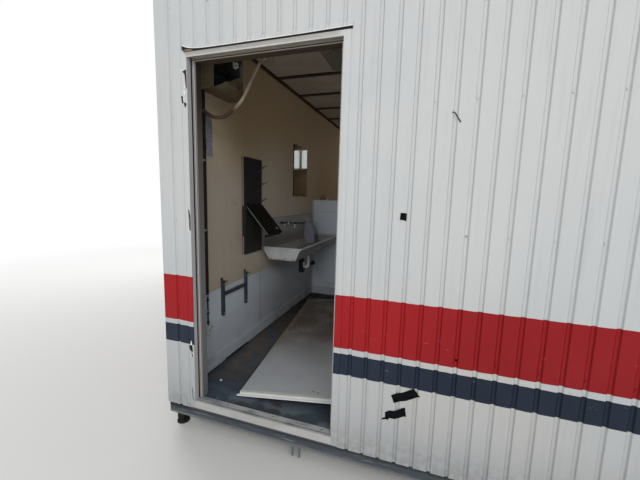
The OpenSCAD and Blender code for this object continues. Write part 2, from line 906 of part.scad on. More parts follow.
// The flap hangs open from its hinge line, with a folded lip along its free edge
module board_flap() {
    lip = 24;
    hinge_r = flap_t / 2;
    color(near_black)
        translate([board_t + hinge_r + gap - room_x, board_y + board_w - half_l,
                floor_z + board_z + flap_z])
            rotate([90, 0, 0])
                rotate([0, 0, -flap_slope])
                    linear_extrude(height = board_w) {
                        circle(r = hinge_r, $fn = 32);
                        translate([0, -hinge_r]) square([flap_l - hinge_r, flap_t]);
                        translate([flap_l - flap_t - hinge_r, -hinge_r - lip])
                            square([flap_t, lip + cut]);
                    }
}

// One hook: a small plate and an arm that rises to a round knob
module coat_hook() {
    plate_w = 14;
    plate_h = 22;
    plate_t = 2.5;
    arm_r = 3;
    knob_r = 5;
    translate([0, -plate_w / 2, -plate_h / 2]) cube([plate_t, plate_w, plate_h]);
    rotate([0, 90 - hook_rise, 0]) {
        translate([0, 0, plate_t / 2]) cylinder(r = arm_r, h = hook_reach, $fn = 24);
        translate([0, 0, hook_reach]) sphere(r = knob_r, $fn = 24);
    }
}

module coat_hooks() {
    color([0.35, 0.33, 0.31])
        for (i = [0 : 2])
            translate([-room_x, hook_y - half_l, floor_z + hook_z + i * hook_gap]) coat_hook();
}

// Section of the trough: x from the wall to the front rim, y up to the rim
module trough_section(inset, top) {
    polygon([[trough_back + inset, inset - trough_h],
        [trough_w - trough_slope - inset, inset - trough_h],
        [trough_w - inset, top], [inset, top]]);
}

module wash_trough() {
    color(panel_grey)
        translate([-room_x, trough_y0 + trough_l, trough_rim]) {
            difference() {
                rotate([90, 0, 0])
                    linear_extrude(height = trough_l) trough_section(0, 0);
                translate([0, -trough_t, 0])
                    rotate([90, 0, 0])
                        linear_extrude(height = trough_l - 2 * trough_t)
                            trough_section(trough_t, cut);
                translate([waste_x, waste_y - trough_l, -trough_h - cut])
                    cylinder(r = waste_r - sheet_t, h = trough_t + 2 * cut, $fn = 48);
            }
            translate([trough_w, 0, -rim_r])
                rotate([90, 0, 0]) cylinder(r = rim_r, h = trough_l, $fn = 48);
            translate([0, -trough_l, -trough_t]) cube([splash_t, trough_l, splash_h + trough_t]);
        }
}

// One wall tap: flange, body, handle on top and a spout that turns down
module tap() {
    flange_r = 2 * tap_r;
    flange_d = 6;
    barrel_l = tap_reach / 2;
    handle_h = 34;
    spout_r = 0.6 * tap_r;
    spout_drop = 34;
    rotate([0, 90, 0]) cylinder(r = flange_r, h = flange_d, $fn = 48);
    rotate([0, 90, 0]) cylinder(r = tap_r, h = barrel_l, $fn = 48);
    translate([barrel_l - tap_r, 0, 0]) cylinder(r = 0.5 * tap_r, h = handle_h, $fn = 32);
    translate([barrel_l - 2.6 * tap_r, -0.45 * tap_r, handle_h - 0.4 * tap_r])
        cube([3.2 * tap_r, 0.9 * tap_r, 0.6 * tap_r]);
    rotate([0, 90, 0]) cylinder(r = spout_r, h = tap_reach, $fn = 32);
    translate([tap_reach, 0, 0]) sphere(r = spout_r, $fn = 32);
    translate([tap_reach, 0, -spout_drop]) cylinder(r = spout_r, h = spout_drop, $fn = 32);
}

module taps() {
    color([0.75, 0.76, 0.78])
        for (i = [0 : tap_count - 1])
            translate([splash_t - room_x, trough_y0 + tap_first + i * tap_gap,
                    trough_rim + tap_z])
                tap();
}

// A straight pipe of radius r from one point to another
module pipe_between(start, end, r) {
    way = end - start;
    translate(start)
        rotate([0, acos(way[2] / norm(way)), atan2(way[1], way[0])])
            cylinder(r = r, h = norm(way), $fn = 48);
}

// Waste pipe down from the trough, a bend that rises into a cup by the wall, and the outlet
// pipe from the cup to a collar on the half partition
module waste_trap() {
    collar_t = 12;
    spigot = 24;
    bend_z = waste_top - waste_drop;
    cup_at = [trough_waste[0] - 2 * trap_r - cup_off, trough_waste[1], bend_z - cup_foot];
    collar_at = [lining_x + collar_r, partition_y0 - collar_t, floor_z + outlet_z];
    color([0.80, 0.81, 0.82]) {
        translate([trough_waste[0], trough_waste[1], bend_z]) {
            cylinder(r = waste_r, h = waste_drop, $fn = 48);
            translate([-trap_r, 0, 0])
                difference() {
                    rotate([90, 0, 0])
                        rotate_extrude($fn = 64)
                            translate([trap_r, 0]) circle(r = waste_r, $fn = 48);
                    translate([-2 * trap_r, -trap_r, 0]) cube([4 * trap_r, 2 * trap_r, 2 * trap_r]);
                }
            translate([-2 * trap_r, 0, 0]) cylinder(r = waste_r, h = spigot, $fn = 48);
        }
        translate(cup_at) cylinder(r = cup_r, h = cup_h, $fn = 48);
        pipe_between([cup_at[0], cup_at[1], cup_at[2] + 1.6 * outlet_r],
            [collar_at[0], collar_at[1] + collar_t / 2, collar_at[2]], outlet_r);
        translate(collar_at) rotate([-90, 0, 0]) cylinder(r = collar_r, h = collar_t, $fn = 48);
    }
}

module bench_bracket() {
    color(steel_blue)
        translate([lining_x, bench_y - half_l, floor_z + bench_z]) {
            for (i = [0, 1])
                translate([0, i * bench_gap - bench_t / 2, 0]) cube([bench_t, bench_t, bench_h]);
            translate([0, -bench_t / 2, bench_bar]) cube([bench_t, bench_gap, bench_t]);
        }
}

// A round surface socket with a sunken face
module wall_socket() {
    sunk = 8;
    rim = 6;
    color(panel_grey)
        translate([lining_x, trunk_y, floor_z + socket_z])
            rotate([0, 90, 0])
                difference() {
                    cylinder(r = socket_r, h = socket_d, $fn = 64);
                    translate([0, 0, socket_d - sunk])
                        cylinder(r = socket_r - rim, h = sunk + cut, $fn = 64);
                }
}

module cable_trunk() {
    cable_x = lining_x + cable_r;
    trunk_foot = floor_z + trunk_z;
    lining_top = floor_z + wainscot_h;
    socket_top = floor_z + socket_z + socket_r;
    color(dark_brown) {
        block([-room_x, trunk_y - trunk_w / 2, lining_top],
            [trunk_d - room_x, trunk_y + trunk_w / 2, box_z0]);
        block([lining_x, trunk_y - trunk_w / 2, trunk_foot],
            [trunk_d - room_x, trunk_y + trunk_w / 2, lining_top + cut]);
        translate([cable_x, trunk_y, socket_top])
            cylinder(r = cable_r, h = trunk_foot - socket_top + cut, $fn = 24);
    }
}

// An open-fronted casing on the wall, facing into the room
module fuse_box() {
    color(beige)
        difference() {
            block([-room_x, box_y0, box_z0], [box_x1, box_y0 + box_l, box_z0 + box_h]);
            block([box_t - room_x, box_y0 + box_t, box_z0 + box_t],
                [box_x1 + cut, box_y0 + box_l - box_t, box_z0 + box_h - box_t]);
        }
}

// The cover has dropped askew and leans inside the casing's mouth
module fuse_box_cover() {
    cover_x1 = box_x1 - box_t;
    color(beige)
        intersection() {
            block([cover_x1 - box_t, box_y0 + box_t + gap, box_z0 + box_t + gap],
                [cover_x1, box_y0 + box_l - box_t - gap, box_z0 + box_h - box_t - gap]);
            translate([cover_x1 - 2 * box_t, box_y0 + box_t, box_z0 + box_t])
                rotate([cover_turn, 0, 0])
                    translate([0, 0, -box_h]) cube([4 * box_t, 2 * box_l, box_h]);
        }
}

// A tube swept along a route: one ring of points square to the route at each of its points
function unit(v) = v / norm(v);
function route_way(route, i) =
    unit(route[min(i + 1, len(route) - 1)] - route[max(i - 1, 0)]);
function tube_ring(route, i, r, sides) =
    let (way = route_way(route, i),
        across = unit(cross(way, [0.5, -1, 0])),
        up = cross(across, way))
    [for (k = [0 : sides - 1])
        route[i] + r * cos(360 * k / sides) * across + r * sin(360 * k / sides) * up];

module tube(route, r, sides) {
    last = len(route) - 1;
    polyhedron(
        points = [for (i = [0 : last]) each tube_ring(route, i, r, sides)],
        faces = concat(
            [[for (k = [0 : sides - 1]) k]],
            [for (i = [0 : last - 1], k = [0 : sides - 1])
                [i * sides + k, (i + 1) * sides + k, (i + 1) * sides + (k + 1) % sides,
                    i * sides + (k + 1) % sides]],
            [[for (k = [sides - 1 : -1 : 0]) last * sides + k]]));
}

module hanging_conduit() {
    color(cream) tube(conduit_route, conduit_r, conduit_sides);
}

end_rails();
side_rails();
cross_members();
feet();
step_lugs();
floor_deck();
front_wall_left();
front_wall_right();
front_wall_over_door();
left_wall();
right_wall();
back_wall();
front_cladding();
left_cladding();
right_cladding();
back_cladding();
corner_trims();
roof_panel();
roof_covering();
roof_fascia();
ceiling_strips();
ceiling_light();
door_frame_left();
door_frame_right();
door_frame_head();
door_sill();
loose_door_leaf();
window_frame();
window_panes();
wainscot();
skirting();
half_partition();
wall_mirror();
wall_board();
board_flap();
coat_hooks();
wash_trough();
taps();
waste_trap();
bench_bracket();
wall_socket();
cable_trunk();
fuse_box();
fuse_box_cover();
hanging_conduit();
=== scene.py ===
"""Portable site cabin: the finishes, small parts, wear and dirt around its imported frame.

Everything is in metres, in the frame's own place: +X to the right of the door end, +Y into
the cabin, +Z up, the ground at 0.
"""

import math
from types import SimpleNamespace

import bmesh
import bpy
from mathutils import Matrix, Vector


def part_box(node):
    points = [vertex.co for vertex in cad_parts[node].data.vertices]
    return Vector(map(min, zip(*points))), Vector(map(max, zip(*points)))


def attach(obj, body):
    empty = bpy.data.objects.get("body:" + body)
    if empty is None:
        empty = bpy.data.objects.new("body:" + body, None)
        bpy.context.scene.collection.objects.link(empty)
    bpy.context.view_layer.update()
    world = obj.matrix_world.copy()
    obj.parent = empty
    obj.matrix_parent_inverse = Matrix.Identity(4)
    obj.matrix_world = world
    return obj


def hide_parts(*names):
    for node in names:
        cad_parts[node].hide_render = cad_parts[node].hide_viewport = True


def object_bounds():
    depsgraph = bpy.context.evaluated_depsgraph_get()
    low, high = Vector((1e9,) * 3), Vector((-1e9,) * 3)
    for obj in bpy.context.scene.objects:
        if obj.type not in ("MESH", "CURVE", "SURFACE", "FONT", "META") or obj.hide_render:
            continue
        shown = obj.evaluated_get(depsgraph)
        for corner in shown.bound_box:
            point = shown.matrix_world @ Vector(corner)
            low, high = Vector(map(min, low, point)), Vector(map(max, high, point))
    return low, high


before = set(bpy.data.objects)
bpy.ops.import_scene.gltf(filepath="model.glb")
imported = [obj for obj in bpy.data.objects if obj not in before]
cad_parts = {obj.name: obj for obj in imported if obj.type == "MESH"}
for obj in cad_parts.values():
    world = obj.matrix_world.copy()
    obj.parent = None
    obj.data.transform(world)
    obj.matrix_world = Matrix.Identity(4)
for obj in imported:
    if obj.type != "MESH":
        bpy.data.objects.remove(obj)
cad_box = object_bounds()

# Planes and edges of the frame that the small parts are set against
FACE_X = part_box("right_cladding")[1].x
FACE_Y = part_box("back_cladding")[1].y
SHEET_FOOT, SHEET_TOP = (corner.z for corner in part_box("front_cladding"))
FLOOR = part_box("floor_deck")[1].z
WALL_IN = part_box("left_wall")[1].x
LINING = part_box("wainscot")[0].x + 0.006
WAINSCOT_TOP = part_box("wainscot")[1].z
FRAME_LEFT, FRAME_FACE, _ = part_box("door_frame_left")[0]
FRAME_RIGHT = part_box("door_frame_right")[1].x
FRAME_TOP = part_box("door_frame_head")[1].z
FLANGE = 0.036

# The rolled sheet
SHEET_THICK = 0.0012
GROOVE_PITCH = 0.0845
GROOVE_DEPTH = 0.008
GROOVE_HALF = 0.012
GROOVE_FLOOR_HALF = 0.005

# The wash trough: its splash back above the rim, and the trap's upright pieces in plan
SPLASH_BACK = 0.257
WASTE_PIPE = (-0.915, -0.800)
TRAP_CUP = (-0.995, -0.800)

# The loose leaf's near left corner on the floor, and how it is turned and tilted there
LEAF_CORNER = (-0.812, -2.366, FLOOR)
LEAF_TURN = (0.0, math.radians(-3.4), math.radians(7.6))
LEAF_WIDE, LEAF_LONG, LEAF_THICK = 0.885, 2.060, 0.027
LEAF_LIP, LIP_THICK, CHANNEL_WIDE = 0.015, 0.013, 0.026
NEAR_FOLD = LEAF_LIP + CHANNEL_WIDE
FAR_FOLD = LEAF_LONG - NEAR_FOLD

# The wainscot: joints between its panels, along the room, and the skirting at its foot
JOINT_FIRST = -1.402
PANEL_WIDE = 1.220
SKIRTING_TALL = 0.096

# Painted bands round the cabin, as heights above the ground
RED_BAND = (0.740, 1.025)
NAVY_BAND = (0.593, 0.710)


# Making materials


def linear(level):
    """One channel of a colour, from a screen's 0 to 255 to light."""
    level /= 255
    return level / 12.92 if level <= 0.04045 else ((level + 0.055) / 1.055) ** 2.4


class Wiring:
    """A node tree being wired up; family is how the names of most of its nodes begin."""

    def __init__(self, tree, family="ShaderNode"):
        self.tree, self.family = tree, family

    def add(self, kind, wires=None, output=0, **words):
        """A new node, of which one output comes back. Words in small letters are its settings;
        capitalised words and wires, by number, give its inputs."""
        node = self.tree.nodes.new(kind if "Node" in kind else self.family + kind)
        given = {**(wires or {}), **{word: words[word] for word in words if word[0].isupper()}}
        for word in words.keys() - given.keys():
            setattr(node, word, words[word])
        for socket, value in given.items():
            self.join(value, node.inputs[socket])
        return node.outputs[output]

    def value(self, kind, wires=None, output=0, **words):
        return Value(self, self.add(kind, wires, output, **words))

    def work_out(self, operation, *numbers):
        return self.value("ShaderNodeMath", dict(enumerate(numbers)), operation=operation)

    def join(self, given, socket):
        for value in given if isinstance(given, list) else [given]:
            value = value.socket if isinstance(value, Value) else value
            if isinstance(value, bpy.types.NodeSocket):
                self.tree.links.new(value, socket)
            elif isinstance(value, tuple) and socket.type == "RGBA":
                socket.default_value = (*value, 1.0)
            else:
                socket.default_value = value


class Value:
    """A number that varies from place to place, worked on with the usual signs."""

    def __init__(self, wiring, socket):
        self.wiring, self.socket = wiring, socket

    def __add__(self, other):
        return self.wiring.work_out("ADD", self, other)

    def __sub__(self, other):
        return self.wiring.work_out("SUBTRACT", self, other)

    def __mul__(self, other):
        return self.wiring.work_out("MULTIPLY", self, other)

    def __or__(self, other):
        """The greater of the two."""
        return self.wiring.work_out("MAXIMUM", self, other)

    def __call__(self, low, high):
        """0 below low, 1 above high, smooth between them; low may be the greater."""
        return self.wiring.value("MapRange", {0: self, 1: low, 2: high},
                                 interpolation_type="SMOOTHSTEP")

    def between(self, low, high, soft):
        """1 from low to high, fading out over soft on both sides."""
        return self(low - soft, low + soft) * self(high + soft, high - soft)


class Finish(Wiring):
    """A surface in layers: the bare material first, then paint, wear and dirt over it."""

    def __init__(self, name, colour, roughness=0.5, metallic=0.0, gloss=0.3):
        self.material = bpy.data.materials.new(name)
        self.material.use_nodes = True
        super().__init__(self.material.node_tree)
        self.shader = self.tree.nodes["Principled BSDF"]
        self.shader.inputs["Metallic"].default_value = metallic
        self.shader.inputs["Specular IOR Level"].default_value = gloss
        self.colour = tuple(linear(level) for level in colour)
        self.roughness, self.height = roughness, None
        self.look_from(self.add("TexCoord", output="Object"))

    def look_from(self, place):
        self.place = place
        axes = self.add("SeparateXYZ", {0: place}).node.outputs
        self.x, self.y, self.z = (Value(self, axis) for axis in axes)

    def grain(self, size, stretch=(1, 1, 1), detail=3, turn=(0, 0, 0), warp=0.0):
        """Cloudy noise from 0 to 1; size is one cloud in metres, stretched along each axis."""
        place = self.add("Mapping", Vector=self.place, Rotation=turn,
                         Scale=tuple(1 / s for s in stretch))
        return self.value("TexNoise", Vector=place, Scale=1 / size, Detail=detail, Distortion=warp)

    def cloud(self, size, low, high, *how, **more):
        """Patches where the grain rises from low to high."""
        return self.grain(size, *how, **more)(low, high)

    def apart(self, place, point):
        return self.value("VectorMath", {0: place, 1: point}, "Value", operation="DISTANCE")

    def near(self, centre, radius, soft):
        """1 within radius of a point."""
        return self.apart(self.place, centre)(radius + soft, radius - soft)

    def lay(self, mask, colour, roughness, blend):
        self.colour = self.add("Mix", {0: mask, 6: self.colour, 7: colour}, 2,
                               data_type="RGBA", blend_type=blend)
        if roughness is not None:
            self.roughness = self.add("Mix", {0: mask, 2: self.roughness, 3: roughness},
                                      data_type="FLOAT")
        return self

    def coat(self, mask, red, green, blue, roughness=None):
        """Lays a colour over what is there, where mask says."""
        return self.lay(mask, (linear(red), linear(green), linear(blue)), roughness, "MIX")

    def stain(self, mask, red, green, blue, roughness=None):
        """Darkens what is there to these shares of its light."""
        return self.lay(mask, (red, green, blue), roughness, "MULTIPLY")

    def lift(self, mask, depth):
        """Raises the surface by depth where mask is 1."""
        self.height = mask * depth if self.height is None else self.height + mask * depth
        return self

    def done(self):
        self.join(self.colour, self.shader.inputs["Base Color"])
        self.join(self.roughness, self.shader.inputs["Roughness"])
        if self.height is not None:
            bump = self.add("Bump", Height=self.height, Distance=1.0)
            self.join(bump, self.shader.inputs["Normal"])
        return self.material


# Making pieces


class Form:
    """A piece being built up in one mesh, every shape where it stands."""

    def __init__(self):
        self.mesh = bmesh.new()

    def block(self, low, high):
        """A box between two corners."""
        low, high = Vector(low), Vector(high)
        place = Matrix.Translation((low + high) / 2) @ Matrix.Diagonal((*(high - low), 1))
        bmesh.ops.create_cube(self.mesh, size=1, matrix=place)
        return self

    def rod(self, start, way, radius, sides=16, end_radius=None):
        """A round bar from start along the vector way."""
        way = Vector(way)
        turn = way.to_track_quat("Z", "Y").to_matrix().to_4x4()
        place = Matrix.Translation(Vector(start) + way / 2) @ turn
        bmesh.ops.create_cone(self.mesh, cap_ends=True, segments=sides, radius1=radius,
                              radius2=radius if end_radius is None else end_radius,
                              depth=way.length, matrix=place)
        return self

    def ball(self, centre, radius, sides=12):
        bmesh.ops.create_uvsphere(self.mesh, u_segments=sides, v_segments=sides // 2 + 1,
                                  radius=radius, matrix=Matrix.Translation(Vector(centre)))
        return self

    def tube(self, route, radius, sides=8):
        """A round rod bent along a route of points, closed at both ends."""
        route = [Vector(p) for p in route]
        ways = [(route[min(i + 1, len(route) - 1)] - route[max(i - 1, 0)]).normalized()
                for i in range(len(route))]
        across = ways[0].orthogonal().normalized()
        rings = []
        for point, way in zip(route, ways):
            across = (across - across.dot(way) * way).normalized()
            up = way.cross(across)
            rings.append([self.mesh.verts.new(
                point + radius * (math.cos(a) * across + math.sin(a) * up))
                for a in (2 * math.pi * k / sides for k in range(sides))])
        for low, high in zip(rings, rings[1:]):
            for k in range(sides):
                self.mesh.faces.new((low[k], low[(k + 1) % sides], high[(k + 1) % sides], high[k]))
        self.mesh.faces.new(rings[0][::-1])
        self.mesh.faces.new(rings[-1])
        return self

    def plate(self, outline, thick):
        """A flat outline of points given its thickness along the vector thick."""
        thick = Vector(thick)
        lower = [self.mesh.verts.new(Vector(p)) for p in outline]
        upper = [self.mesh.verts.new(Vector(p) + thick) for p in outline]
        faces = [self.mesh.faces.new(lower), self.mesh.faces.new(upper[::-1])]
        for i in range(len(outline)):
            j = (i + 1) % len(outline)
            faces.append(self.mesh.faces.new((lower[j], lower[i], upper[i], upper[j])))
        bmesh.ops.recalc_face_normals(self.mesh, faces=faces)
        return self

    def curl(self, root, way, side, length, width, bend, steps=6):
        """A torn sliver of sheet that curls up from root along way and away from the wall."""
        root, way, side = Vector(root), Vector(way).normalized(), Vector(side).normalized()
        out = way.cross(side)
        spine, angle, point = [], 0.0, root.copy()
        for i in range(steps + 1):
            share = i / steps
            spine.append((point.copy(), side * (width * (1 - share) + 0.001) / 2))
            angle = bend * share
            point += (way * math.cos(angle) + out * math.sin(angle)) * length / steps
        for (a, half_a), (b, half_b) in zip(spine, spine[1:]):
            self.plate([a - half_a, a + half_a, b + half_b, b - half_b], out * 0.0008)
        return self

    def piece(self, name, finish, slot, smooth=False, edge=0.0):
        """Ends the work: the mesh becomes a piece of the cabin with its finish. slot is not used."""
        mesh = bpy.data.meshes.new(name)
        self.mesh.to_mesh(mesh)
        self.mesh.free()
        return dress(name, mesh, finish, smooth, edge)


def dress(name, mesh, finish, smooth=False, edge=0.0):
    mesh.materials.clear()
    mesh.materials.append(finish)
    made = stand(name, mesh)
    if edge:
        bevel = made.modifiers.new("soft_edges", "BEVEL")
        bevel.width, bevel.segments, bevel.limit_method = edge, 2, "ANGLE"
    if smooth:
        mesh.shade_smooth()
    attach(made, "root")
    return made


def stand(name, data):
    """A new object in the scene."""
    made = bpy.data.objects.new(name, data)
    bpy.context.scene.collection.objects.link(made)
    return made


def ring(centre, radius, steps, first=(1, 0, 0), second=(0, 1, 0)):
    """A closed route round a circle in the plane of two axes."""
    turns = [2 * math.pi * i / steps for i in range(steps + 1)]
    return [Vector(centre) + radius * (math.cos(a) * Vector(first) + math.sin(a) * Vector(second))
            for a in turns]


def smooth_route(points, steps=4):
    """More points along a route, on one smooth curve through the given ones."""
    points = [Vector(p) for p in points]
    ends = [2 * points[0] - points[1]] + points + [2 * points[-1] - points[-2]]
    route = []
    for a, b, c, d in zip(ends, ends[1:], ends[2:], ends[3:]):
        for i in range(steps):
            t = i / steps
            route.append(0.5 * (2 * b + (c - a) * t + (2 * a - 5 * b + 4 * c - d) * t * t
                                + (3 * b - a - 3 * c + d) * t ** 3))
    return route + [points[-1]]


class Recipe(Wiring):
    """A Geometry Nodes tree with named inputs, run once and turned into a plain mesh."""

    KINDS = {int: "NodeSocketInt", float: "NodeSocketFloat", tuple: "NodeSocketVector"}

    def __init__(self, name, **inputs):
        super().__init__(bpy.data.node_groups.new(name, "GeometryNodeTree"), "GeometryNode")
        face = self.tree.interface
        self.values = {}
        for word, value in inputs.items():
            socket = face.new_socket(name=word.replace("_", " "), in_out="INPUT",
                                     socket_type=self.KINDS[type(value)])
            self.values[socket.identifier] = value
        face.new_socket(name="Geometry", in_out="OUTPUT", socket_type="NodeSocketGeometry")
        entry = self.tree.nodes.new("NodeGroupInput")
        self.inputs = SimpleNamespace(**dict(zip(inputs, entry.outputs)))

    def chance(self, kind, output, wires=None, **words):
        """A random value for each point, from the tree's seed."""
        return self.add("FunctionNodeRandomValue", wires, output, data_type=kind,
                        Seed=self.inputs.Seed, **words)

    def vector(self, **parts):
        return self.add("ShaderNodeCombineXYZ", **parts)

    def run(self, geometry, finish):
        """Ends the tree in Realize Instances and Set Material, and returns the made mesh."""
        real = self.add("RealizeInstances", {0: geometry})
        coated = self.add("SetMaterial", Geometry=real, Material=finish)
        leave = self.tree.nodes.new("NodeGroupOutput")
        self.join(coated, leave.inputs[0])
        holder = stand("holder", bpy.data.meshes.new("holder"))
        modifier = holder.modifiers.new("recipe", "NODES")
        modifier.node_group = self.tree
        for identifier, value in self.values.items():
            modifier[identifier] = value
        evaluated = holder.evaluated_get(bpy.context.evaluated_depsgraph_get())
        mesh = bpy.data.meshes.new_from_object(evaluated)
        bpy.data.objects.remove(holder)
        return mesh


# Camera, and the conduit that hangs in the doorway


EYE = (0.294, -4.057, 1.520)
# Leaned over, tilted down and turned left, about the cabin's own axes
LEAN, TILT, HEADING = -3.79, -6.69, 18.66
# The wide view's focal length, as a share of the picture's width
WIDE_VIEW = 322 / 640


def place_camera():
    """A phone's wide view from just outside the doorway, level with a person's chest."""
    turns = [Matrix.Rotation(math.radians(angle), 3, axis)
             for angle, axis in ((LEAN, "Y"), (TILT, "X"), (HEADING, "Z"))]
    right, ahead, up = (turns[0] @ turns[1] @ turns[2]).col
    camera = stand("camera", bpy.data.cameras.new("camera"))
    camera.data.sensor_width = 36
    camera.data.lens = 36 * WIDE_VIEW
    camera.data.clip_start, camera.data.clip_end = 0.05, 200
    camera.matrix_world = (Matrix.Translation(EYE)
                           @ Matrix((right, up, -ahead)).transposed().to_4x4())
    bpy.context.scene.camera = camera


CONDUIT_RADIUS = 0.0125
CONDUIT_ROUTE = [
    (-0.920, -1.700, 2.655), (-0.920, -1.702, 2.625), (-0.928, -1.722, 2.595),
    (-0.936, -1.755, 2.558), (-0.942, -1.802, 2.512), (-0.947, -1.850, 2.455),
    (-0.953, -1.888, 2.396), (-0.960, -1.922, 2.332), (-0.971, -1.962, 2.256),
    (-0.984, -2.001, 2.184), (-1.000, -2.046, 2.126), (-1.017, -2.094, 2.078),
    (-1.035, -2.140, 2.040), (-1.058, -2.176, 2.024), (-1.084, -2.192, 2.026),
    (-1.112, -2.196, 2.038), (-1.140, -2.190, 2.055), (-1.166, -2.180, 2.071)]


def hang_conduit():
    """The conduit, its glands at both ends, and the wire tie round its top."""
    line = bpy.data.curves.new("ceiling_conduit", "CURVE")
    line.dimensions = "3D"
    line.bevel_depth = CONDUIT_RADIUS - 0.0005
    line.bevel_resolution = line.resolution_u = 4
    line.use_fill_caps = True
    spline = line.splines.new("BEZIER")
    spline.bezier_points.add(len(CONDUIT_ROUTE) - 1)
    for point, place in zip(spline.bezier_points, CONDUIT_ROUTE):
        point.co = place
        point.handle_left_type = point.handle_right_type = "AUTO"
    line.materials.append(conduit_finish())
    conduit = stand("ceiling_conduit", line)
    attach(conduit, "root")
    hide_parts("hanging_conduit")

    top, foot = Vector(CONDUIT_ROUTE[0]), Vector(CONDUIT_ROUTE[-1])
    into_trunk = (foot - Vector(CONDUIT_ROUTE[-2])).normalized()
    glands = Form().rod(top, (0, 0, -0.006), 0.020, 6)
    glands.rod(top + Vector((0, 0, -0.006)), (0, 0, -0.024), 0.0165, 20, 0.0138)
    glands.rod(foot - into_trunk * 0.012, into_trunk * 0.014, 0.0142, 20)
    tie = ((-0.951, 2.567), (-0.946, 2.584), (-0.926, 2.590), (-0.908, 2.582), (-0.896, 2.566),
           (-0.892, 2.545))
    glands.tube(smooth_route([(x, -1.720, z) for x, z in tie]), 0.0030, 6)
    made = glands.piece("conduit_glands", plain_plastic("gland_plastic", (96, 92, 84)),
                        "conduit_plastic", edge=0.0008)


# Finishes


def coach_paint(name, axis=None, face=0.0, sense=1.0):
    """Weathered white sheet with the red and navy bands, and painted shade darkening it towards
    its foot. axis and face give the wall's plane, and sense the way in from it, so that shade can
    be painted on the grooves' walls."""
    paint = Finish(name, (198, 200, 200), 0.42, gloss=0.25)
    paint.coat(paint.cloud(0.45, 0.35, 0.7, detail=2), 193, 197, 199)
    paint.coat(paint.cloud(0.9, 0.5, 0.8, detail=2), 201, 200, 197)
    level = paint.z + (paint.grain(0.05, detail=2) - 0.5) * 0.004
    faded = paint.cloud(0.25, 0.45, 0.8, detail=4)
    bands = [level.between(*band, 0.0008) for band in (RED_BAND, NAVY_BAND)]
    paint.coat(bands[0], 164, 24, 30, 0.38).coat(bands[0] * faded * 0.5, 170, 34, 39)
    paint.coat(bands[1], 36, 47, 63, 0.38).coat(bands[1] * faded * 0.4, 49, 59, 75)
    for band in bands:
        paint.stain(band * paint.x(0.05, 0.60), 0.78, 0.79, 0.82)
    scuffs = paint.cloud(0.02, 0.70, 0.74, (3, 3, 0.6), 6)
    paint.coat(scuffs * paint.z(1.2, 0.4) * 0.45, 172, 174, 175)
    streaks = paint.cloud(0.022, 0.50, 0.78, (1, 1, 26))
    paint.stain(streaks * 0.55, 0.90, 0.89, 0.86)
    # Painted shade: the sheet grows darker towards its foot, most in the lowest half metre
    paint.stain(paint.z(1.45, 0.30), 0.80, 0.81, 0.82)
    paint.stain(paint.z(0.50, 0.17), 0.84, 0.84, 0.85)
    mud = paint.cloud(0.03, 0.62, 0.42, detail=5)
    paint.stain(paint.z(0.36, 0.17) * mud * 0.7, 0.78, 0.76, 0.72, 0.7)
    specks = paint.cloud(0.008, 0.735, 0.76, detail=2)
    paint.stain(specks * 0.35, 0.70, 0.66, 0.60)
    if axis is not None:
        depth = (getattr(paint, axis) - face) * sense
        # Painted shade: the grooves' walls darker, their floors a touch darker
        groove_wall_shade = depth.between(0.0016, 0.0064, 0.0012)
        paint.stain(groove_wall_shade * 0.6, 0.86, 0.86, 0.86)
        paint.stain(depth(0.0062, 0.0078), 0.985, 0.985, 0.985)
    paint.lift(paint.grain(0.22, (1, 1, 2.5), 1), 0.0014)
    return paint.lift(paint.grain(0.004, detail=1), 0.00006)


def frame_paint(name):
    """Coach paint on the frame's outer flange, worn grey-brown enamel in the rebate, and
    painted shade on the reveal behind the stop, darkest at its top.
    """
    paint = coach_paint(name)
    way_in = paint.y - FRAME_FACE
    rebate = way_in(0.0045, 0.0055)
    paint.coat(rebate, 188, 186, 189, 0.42)
    paint.coat(rebate * paint.cloud(0.05, 0.4, 0.7, (1, 1, 6), 4) * 0.5, 172, 169, 170)
    paint.coat(way_in.between(0.0418, 0.0424, 0.0004), 178, 177, 174)
    # Painted shade: the reveal behind the stop is darker than the rebate, darker still higher up, near
    # black at its top for the shadow of the cable trunk, and less dark just behind the stop
    deep = way_in(0.043, 0.046)
    paint.coat(deep, 118, 119, 122)
    paint.coat(deep * paint.z(0.9, 1.9), 98, 92, 86)
    paint.stain(deep * paint.z(1.70, 2.15), 0.30, 0.27, 0.26)
    paint.coat((deep * way_in(0.062, 0.052))(0.3, 0.7), 158, 150, 148)
    grime = paint.cloud(0.012, 0.60, 0.72, (1, 1, 4), 5)
    return paint.stain(rebate * grime * 0.5, 0.72, 0.70, 0.68, 0.7).done()


